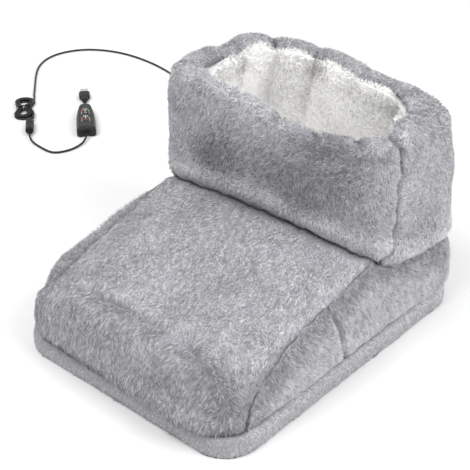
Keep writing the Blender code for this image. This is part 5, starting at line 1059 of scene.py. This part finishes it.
def soft_copy(node, name, finish, depth, size, seed):
    """A softer stand-in for a CAD solid: its own form, cut finer, with a face that is lumpy inwards."""
    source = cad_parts[node]
    shape = bmesh.new()
    shape.from_mesh(source.data)
    bmesh.ops.transform(shape, matrix=source.matrix_world, verts=shape.verts)
    bmesh.ops.remove_doubles(shape, verts=shape.verts, dist=0.00002)
    bmesh.ops.triangulate(shape, faces=shape.faces)
    longest = size * 1.0
    for _ in range(3):
        edges = [e for e in shape.edges if e.calc_length() > longest]
        if edges:
            bmesh.ops.subdivide_edges(shape, edges=edges, cuts=1)
            bmesh.ops.triangulate(shape, faces=[f for f in shape.faces if len(f.verts) > 3])
    bmesh.ops.recalc_face_normals(shape, faces=shape.faces)
    shape.normal_update()
    places = np.array([v.co for v in shape.verts])
    normal = np.array([v.normal for v in shape.verts])
    dented = places - normal * (depth * np.clip(curls(places, size, seed), 0, 1))[:, None]
    for vertex, co in zip(shape.verts, dented.tolist()):
        vertex.co = co
    mesh = bpy.data.meshes.new(name)
    shape.to_mesh(mesh)
    shape.free()
    mesh.shade_smooth()
    mesh.materials.append(FINISHES[finish])
    piece = add_object(name, mesh)
    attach(piece, "boot")
    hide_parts(node)
    return piece


def insole_pile(insole):
    """The sherpa on the insole's face, brushed out over its edge."""
    half = BOOT_WIDTH / 2 - PAD_SIDE_SETBACK
    y = np.linspace(TOE_Y + PAD_TOE_SETBACK + INSOLE_RIM, HEEL_Y - PAD_HEEL_SETBACK - INSOLE_RIM, int(0.300 / STEP))
    into = np.clip(PAD_CORNER_RADIUS - np.minimum(y - y[0], y[-1] - y), 0, PAD_CORNER_RADIUS)
    wide = half - INSOLE_RIM - (PAD_CORNER_RADIUS - np.sqrt(PAD_CORNER_RADIUS ** 2 - into ** 2))
    share = np.linspace(-1, 1, int(2 * half / STEP))
    grid = xyz(share[:, None] * wide, y, INSOLE_LOW + INSOLE_THICKNESS)
    face = BVHTree.FromObject(insole, bpy.context.evaluated_depsgraph_get())
    for spot in grid.reshape(-1, 3):
        met = face.ray_cast(Vector((spot[0], spot[1], 0.2)), Vector((0, 0, -1)))[0]
        if met:
            spot[2] = met.z
    edge = np.minimum(wide * (1 - np.abs(share[:, None])), np.minimum(y - y[0], y[-1] - y))
    outward = unit(grid - np.array([0, (TOE_Y + HEEL_Y) / 2, grid[..., 2].mean()]) + 1e-6)
    comb = np.array([0, -0.6, 0]) + 2.5 * outward * bell(edge, 0.010)[..., None]
    pile(insole, grid, normals_of(grid, UP + 0 * grid), 76, SHERPA, comb, length=0.0042, unruly=0.15,
         lean=0.42 - 0.22 * bell(edge, 0.006), tones=(0.62, 0.92), **SHERPA_HAIRS)


def make_inside():
    """The linings round the feet, the insole, the sole's cloth, foam and felt."""
    for node, name, size in (
        ("vamp_lining", "vamp_sherpa", (0.28, 0.26)), ("right_side_lining", "right_side_sherpa", (0.30, 0.09)),
        ("left_side_lining", "left_side_sherpa", (0.30, 0.09)), ("heel_lining", "heel_sherpa", (0.24, 0.07)),
    ):
        piece = soft_copy(node, name, "sherpa_ground", 0.0008, 0.0055, 70)
    insole = soft_copy("insole_pad", "insole", "sherpa_ground", 0.0010, 0.0055, 71)
    insole_pile(insole)
    sole = soft_copy("sole_bottom", "sole_cloth", "gripping_sole", 0.0001, 0.012, 72)
    foam = soft_copy("sole_foam", "foam_base", "cut_foam", 0.0002, 0.015, 73)
    felt = soft_copy("heating_pad_felt", "pad_felt", "needled_felt", 0.0001, 0.012, 74)


def rounded_track(half, low_y, high_y, radius, step):
    """Points and outward directions round a rectangle with round corners, about step apart."""
    points, outs = [], []
    corners = ((1, low_y + radius, -90), (1, high_y - radius, 0), (-1, high_y - radius, 90), (-1, low_y + radius, 180))
    for k, (side, centre_y, start) in enumerate(corners):
        centre = np.array([side * (half - radius), centre_y])
        for turn in np.radians(np.linspace(start, start + 90, max(int(radius * math.pi / 2 / step), 4))):
            out = np.array([math.cos(turn), math.sin(turn)])
            points.append(centre + radius * out)
            outs.append(out)
        after = corners[(k + 1) % 4]
        here, there = points[-1], np.array([after[0] * (half - radius), after[1]]) + radius * outs[-1]
        for share in np.linspace(0, 1, int(np.linalg.norm(there - here) / step) + 1)[1:-1]:
            points.append(here + (there - here) * share)
            outs.append(outs[-1])
    return np.array(points), np.array(outs)


# The band's lowest line, its face's lumps, and how full its lower and upper halves are
BAND_LOW, BAND_LUMPS, BAND_FULLNESS = 0.0008, ((0.0008, 0.040, 80), (0.0003, 0.014, 81)), (0.05, 0.34)


def make_band():
    """The plush band round the sole's edge."""
    points, outs = rounded_track(HALF_WIDTH, TOE_Y, HEEL_Y, SOLE_CORNER_RADIUS, STEP)
    turn = np.linspace(math.radians(-105), math.radians(105), int(0.040 / STEP))
    half = (BAND_HEIGHT - BAND_LOW) / 2
    inward = BAND_WIDTH * np.where(turn < 0, *BAND_FULLNESS) * (1 - np.cos(turn)) + 0.0014
    height = BAND_LOW + half * (1 + np.sin(turn))
    out3, centre = raised(outs, 0)[:, None], raised(points, 0)[:, None]
    base = centre - out3 * inward[None, :, None] + UP * height[None, :, None]
    normal = normals_of(base, out3, ring=True)
    shape = base + normal * lumps(base, BAND_LUMPS)[..., None]
    shape[..., 2] = np.maximum(shape[..., 2], 0.0005)
    inner = np.concatenate([centre - out3 * BAND_WIDTH + UP * z for z in (0.0024, BAND_HEIGHT)], axis=1)
    piece = shell("edge_band", shape, inner, "plush_ground", ring=True)
    finish_panel(piece, ("sole_edge_band",))
    # Painted light on the band's pile: shade at the toe, lighter at the right side, where the key lamp falls, and a
    # painted highlight along its top roll
    toe, right = ease(-0.14, -0.18, points[:, 1:]), ease(0.10, 0.14, points[:, :1])
    shade = -0.20 * toe * ease(-0.2, 1.0, turn) + 0.08 * right + 0.10 * (1 - toe) * bell(turn - 0.75, 0.40)
    pile(piece, shape, normals_of(shape, out3, ring=True), 84, PLUSH, (0, 0, -0.7), length=0.0034, lean=0.24,
         unruly=0.08, swirl=0.4, spread=0.30, density=0.85, ring=True, tones=(0.24, 0.76), clump=0.0018, shade=shade)


# The cords

def laid(points):
    """Points of the controller's own frame, in the boot's."""
    c, s = math.cos(LAY_ANGLE), math.sin(LAY_ANGLE)
    x, y, z = np.moveaxis(np.asarray(points, float), -1, 0)
    return xyz(LAY_X + c * x - s * y, LAY_Y + s * x + c * y, z)


def smooth_route(points, count):
    """Points at even steps of the smooth curve through a route's own points."""
    fine = through(points, np.linspace(0, 1, 60 * len(points)))
    far = lengths_along(fine)
    return rows_at(np.linspace(0, far[-1], count + 1), far, fine)


def hank_points():
    """The hank's two layers of nested turns, from the end that the boot's lead joins."""
    half = (HANK_LENGTH - HANK_LOBE_WIDTH) / 2
    lobe, waist = (HANK_LOBE_WIDTH - CORD_DIAMETER) / 2, (HANK_WAIST_WIDTH - CORD_DIAMETER) / 2
    turns, points = HANK_LOOPS // 2, []
    for n in range(2 * HANK_LOOPS + 1):
        side = 1 if n % 2 == 0 else -1
        inset = HANK_PITCH * (n if n <= 2 * turns else 4 * turns - n) / 2
        for share in np.linspace(0, 1, RUN_POINTS + 1):
            y = side * half * (1 - 2 * share)
            climb = share * share * (3 - 2 * share) if n == 2 * turns else float(n > 2 * turns)
            wide = lobe - (lobe - waist) * (1 + math.cos(math.pi * min(abs(y) / half, 1))) / 2
            points.append((side * (wide - inset), y, climb))
        if n == 2 * HANK_LOOPS:
            break
        after = HANK_PITCH * (n + 1 if n + 1 <= 2 * turns else 4 * turns - n - 1) / 2
        for share in np.linspace(0, 1, FOLD_POINTS + 1)[1:-1]:
            radius, turn = lobe - inset + (inset - after) * share, math.pi * share
            points.append((side * radius * math.cos(turn), -side * (half + radius * math.sin(turn)), climb))
    x, y, climb = np.array(points).T
    lift = HANK_WAIST_LIFT * np.cos(math.pi / 2 * np.minimum(np.abs(y) / (half / 2), 1))
    z = CORD_DIAMETER / 2 + HANK_LAYER * climb + np.maximum(lift, 0)
    placed = xyz(x - HANK_ASIDE, HANK_LOW + HANK_LENGTH / 2 + y, z)
    first, last = placed[0] + [0, CORD_DIAMETER * 2, 0], placed[-1] - [0, lobe + CORD_DIAMETER, 0]
    return np.concatenate([[first], placed, [last]])


def make_cord(name, points, body, nodes, **facts):
    """One free cord as a round curve along its points."""
    data = bpy.data.curves.new(name, "CURVE")
    data.dimensions, data.bevel_depth, data.bevel_resolution, data.use_fill_caps = "3D", CORD_DIAMETER / 2, 3, True
    line = data.splines.new("POLY")
    line.points.add(len(points) - 1)
    line.points.foreach_set("co", np.concatenate([points, np.ones((len(points), 1))], axis=1).reshape(-1))
    line.use_smooth = True
    data.materials.append(FINISHES["cord_pvc"])
    piece = add_object(name, data)
    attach(piece, body)
    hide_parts(*nodes)
    return piece


def make_cords():
    """The boot's lead with its hank, the controller's lead, and the short lead to the USB plug."""
    turns = hank_points()
    join = laid([turns[0] + [0, back, 0] for back in (0.042, 0.020, 0.0033, 0.0003)])
    lead = smooth_route([LEAD_EXIT, *LEAD_ROUTE, *join], 160)
    out, face = turns[-1], np.array([0, SOCKET_END + 0.0003, CONNECTOR_RADIUS])
    short = smooth_route([
        out - [0, 0.0003, 0], out - [0, CORD_DIAMETER, 0], (out + face) / 2, face + [0, CORD_DIAMETER, 0], face,
    ], 16)
    hank = smooth_route(turns, 420)
    make_cord("lead_cord", np.concatenate([lead, laid(hank), laid(short)]), "boot",
              ("boot_lead", "cord_hank", "socket_lead"), far_end="connector", stiffness="medium",
              lay="coiled", with_pieces=["hank_tie", "hank_tie_twist", "socket_body", "socket_pin"])

    floor = CORD_DIAMETER / 2
    start = np.array([0, -0.0253, CONNECTOR_RADIUS])
    inside = NOTCH_DEPTH + CLAMP_DEPTH
    end = np.array([CONTROLLER_ASIDE, -CONTROLLER_BACK + inside, CONTROLLER_SPLIT + 0.00015])
    fall, rise = start[2] - floor, end[2] - floor
    bends = ((0.035, 0.52, fall * 0.26), (0.16, 0.74, 0), (0.40, 1.015, 0), (0.68, 0.97, 0),
             (0.90, 0.78, rise * 0.18), (0.985, 0.60, rise * 0.67))
    route = [start, start - [0, CORD_DIAMETER * 1.5, 0]]
    route += [np.array([CONTROLLER_ASIDE * across, -CONTROLLER_ASIDE * back, floor + up]) for across, back, up in bends]
    route += [end - [0, inside, 0], end - [0, inside / 2, 0], end]
    make_cord("controller_cord", laid(smooth_route(route, 60)), "connector", ("controller_lead",),
              far_end="fitting", stiffness="medium", lay="loose",
              with_pieces=["plug_body", "plug_barrel", "controller_bottom_shell", "controller_top_shell"])

    start = np.array([CONTROLLER_ASIDE, CONTROLLER_TOP_END - CLAMP_DEPTH, CONTROLLER_SPLIT + 0.00015])
    end = np.array([CONTROLLER_ASIDE, CONTROLLER_TOP_END + 0.025, 0.004])
    route = [start, start + [0, CLAMP_DEPTH, 0], start + 0.38 * (end - start) + [0, 0, 0.000286],
             start + 0.7 * (end - start) - [0, 0, 0.000286], end - [0, CORD_DIAMETER, 0], end]
    make_cord("usb_cord", laid(smooth_route(route, 30)), "connector", ("usb_lead",),
              far_end="plug", stiffness="medium", lay="loose",
              with_pieces=["usb_plug_body", "usb_shell", "usb_tongue"])


# The controller's face

class Drawing:
    """Flat marks on the controller's face, in millimetres: x to its right, y down from its top end."""

    def __init__(self, height):
        self.points, self.faces, self.height = [], [], height

    def strip(self, left, right):
        """A band between two lines of as many points."""
        first = len(self.points)
        for a, b in zip(left, right):
            self.points += [a, b]
        self.faces += [(first + 2 * k, first + 2 * k + 1, first + 2 * k + 3, first + 2 * k + 2)
                       for k in range(len(left) - 1)]

    def arc(self, x, y, radius, start, end, width=0.4, steps=20):
        turns = np.radians(np.linspace(start, end, steps + 1))
        around = xyz(np.cos(turns), -np.sin(turns))
        self.strip(around * (radius - width / 2) + [x, y], around * (radius + width / 2) + [x, y])

    def bar(self, x0, y0, x1, y1, width=0.4):
        a, b = np.array([x0, y0]), np.array([x1, y1])
        side = np.array([-(b - a)[1], (b - a)[0]]) / np.linalg.norm(b - a) * width / 2
        self.strip([a - side, b - side], [a + side, b + side])

    def disc(self, x, y, radius):
        self.arc(x, y, radius / 2, 0, 360, radius, 16)

    def place(self, name, material, body, slot):
        """Lays the marks on the face as one thin piece."""
        points = []
        for z in (self.height + 0.00004, self.height + 0.00012):
            points += [(CONTROLLER_ASIDE + x / 1000, CONTROLLER_TOP_END - y / 1000, z) for x, y in self.points]
        count, faces = len(self.points), []
        for a, b, c, d in self.faces:
            top = [count + k for k in (a, b, c, d)]
            faces += [(a, b, c, d), top[::-1]]
            faces += [(a, top[0], top[1], b), (b, top[1], top[2], c), (c, top[2], top[3], d), (d, top[3], top[0], a)]
        mark = mesh_from(name, laid(points), [np.array(faces)], FINISHES[material])
        mark.data.polygons.foreach_set("use_smooth", np.zeros(len(faces), dtype=bool))
        face_outwards(mark.data)
        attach(mark, body)
        return mark


def make_face():
    """The plain icons, brackets, scales and lamps on the controller's face."""
    marks = Drawing(FACE_HEIGHT)
    for y in (23.6, 48.4):
        marks.arc(0, y, 2.9, 0, 360, 0.55, 28)
    marks.bar(0, 23.6, 0, 21.9)
    marks.bar(0, 23.6, 1.3, 24.2)
    marks.bar(0, 46.6, 0, 49.2, 0.75)
    marks.disc(0, 49.5, 0.85)
    for y in (36.5, 62.0):
        marks.arc(-1.0, y, 5.0, 140, 220, 0.4, 12)
        marks.arc(1.0, y, 5.0, -40, 40, 0.4, 12)
    for y in (26.9, 52.4):
        for k in (-1, 0, 1):
            marks.bar(5 * k - 0.6, y, 5 * k + 0.6, y, 0.3)
    marks.place("face_marks", "white_ink", "connector", "label_film")
    for y, which in ((29.5, "timer"), (55.0, "heat")):
        for k, colour in ((-1, "red"), (0, "amber"), (1, "green")):
            lamp = Drawing(FACE_HEIGHT)
            lamp.disc(5 * k, y, 1.1)
            lamp.place("%s_%s_lamp" % (which, colour), colour + "_lens", "connector", "light_bar")
    clock = Drawing(BUTTON_HEIGHT)
    clock.arc(0, 36.5, 1.9, 0, 360, 0.35, 24)
    clock.bar(0, 36.5, 0, 35.3, 0.35)
    clock.bar(0, 36.5, 0.9, 36.9, 0.35)
    clock.place("timer_button_mark", "white_ink", "timer_button_body", "button_rubber")
    power = Drawing(BUTTON_HEIGHT)
    power.arc(0, 62.0, 1.8, 125, 415, 0.45, 24)
    power.bar(0, 60.0, 0, 62.0, 0.45)
    power.place("heat_button_mark", "red_ink", "heat_button_body", "button_rubber")


def main():
    dress_nodes()
    make_vamp()
    straight, arc, back = track_length(WALL_SET_IN)
    side_end = 1 + (straight + arc) / (straight + arc + back)
    make_wall("right_side", 1, 0.0, side_end, ("right_side_panel", "right_side_wadding"), 41)
    make_wall("left_side", -1, 0.0, side_end, ("left_side_panel", "left_side_wadding"), 43)
    make_wall("heel", 0, side_end, 2.0, ("heel_panel", "heel_wadding"), 45)
    make_collar("collar_front", -UPRIGHT_FAR, UPRIGHT_FAR, ("collar_front_panel",), PLUSH_DEPTH, 50)
    make_collar("collar_rear", UPRIGHT_FAR, 2 * COLLAR_BACK - UPRIGHT_FAR, ("collar_rear_panel", "collar_wadding"),
                WADDING_DEPTH, 52)
    make_shaft_lining()
    make_inside()
    make_band()
    make_cords()
    make_face()


# How strong the sky's light is, and the lamps' places, sizes and powers
WORLD_LEVEL = 0.74
LAMPS = (("key_light", (1.7, 0.2, 1.5), 1.3, 29), ("front_light", (-0.25, -1.3, 2.3), 1.4, 39))
# The floor's tones at the two ends of a span, which runs along this way, and between which distances it fades out
FLOOR_TONES, FLOOR_WAY, FLOOR_SPAN, FLOOR_FADES = (0.86, 0.71), (0.65, -0.75, 0), (-0.10, 0.30), (1.4, 2.3)


def make_floor():
    """A white floor, a little darker towards the camera, where the lamps light it more."""
    paint = Paint("studio_floor", roughness=0.95, specular_ior_level=0.0)
    forward = paint.node("ShaderNodeVectorMath", {"operation": "DOT_PRODUCT"}, {
        0: paint.place(), 1: FLOOR_WAY,
    }, "Value")
    share = paint.node("ShaderNodeMapRange", None, {
        "Value": forward, "From Min": FLOOR_SPAN[0], "From Max": FLOOR_SPAN[1],
    })
    paint.feed("Base Color", paint.ramp(share, *enumerate((tone,) * 3 for tone in FLOOR_TONES)))
    away = paint.node("ShaderNodeVectorMath", {"operation": "LENGTH"}, {0: paint.place()}, "Value")
    paint.feed("Alpha", paint.node("ShaderNodeMapRange", None, {
        "Value": away, "From Min": FLOOR_FADES[0], "From Max": FLOOR_FADES[1], "To Min": 1.0, "To Max": 0.0,
    }))
    bpy.ops.mesh.primitive_plane_add(size=6, location=(0, 0, -0.0005))
    floor = bpy.context.object
    floor.name = "floor"
    floor.data.materials.append(paint.material)


def make_sky():
    """A white sky to the camera and in reflections, and soft light all round."""
    world = bpy.data.worlds.new("studio")
    bpy.context.scene.world = world
    world.use_nodes = True
    nodes, links = world.node_tree.nodes, world.node_tree.links
    sky, path = nodes["Background"], nodes.new("ShaderNodeLightPath")
    sky.inputs["Color"].default_value = (1, 1, 1, 1)
    shown = path.outputs["Is Camera Ray"]
    for also in ("Is Glossy Ray", "Is Transmission Ray"):
        either = nodes.new("ShaderNodeMath")
        either.operation = "MAXIMUM"
        links.new(shown, either.inputs[0])
        links.new(path.outputs[also], either.inputs[1])
        shown = either.outputs[0]
    level = nodes.new("ShaderNodeMapRange")
    level.inputs["To Min"].default_value = WORLD_LEVEL
    level.inputs["To Max"].default_value = 1.0
    links.new(shown, level.inputs["Value"])
    links.new(level.outputs[0], sky.inputs["Strength"])


def make_studio():
    """The floor, the sky, a large lamp at the right and a larger one in front."""
    make_floor()
    make_sky()
    for name, place, size, power in LAMPS:
        light = bpy.data.lights.new(name, "AREA")
        light.size, light.energy = size, power
        aim(add_object(name, light), place, (0, 0, 0.1))
    bpy.context.scene.view_settings.view_transform = "Standard"


CAMERA_EYE, CAMERA_TARGET, CAMERA_LENS = (0.6469, -0.7498, 0.6986), (0, -0.017, 0.112), 84.26


def aim(thing, place, target):
    """Puts a lamp or the camera at its place, facing its target."""
    thing.location = place
    thing.rotation_euler = (Vector(target) - Vector(place)).to_track_quat("-Z", "Y").to_euler()


def make_camera():
    data = bpy.data.cameras.new("photo_camera")
    data.lens, data.sensor_width, data.sensor_fit = CAMERA_LENS, 36, "HORIZONTAL"
    camera = add_object("photo_camera", data)
    aim(camera, CAMERA_EYE, CAMERA_TARGET)
    bpy.context.scene.camera = camera


main()
make_studio()
make_camera()
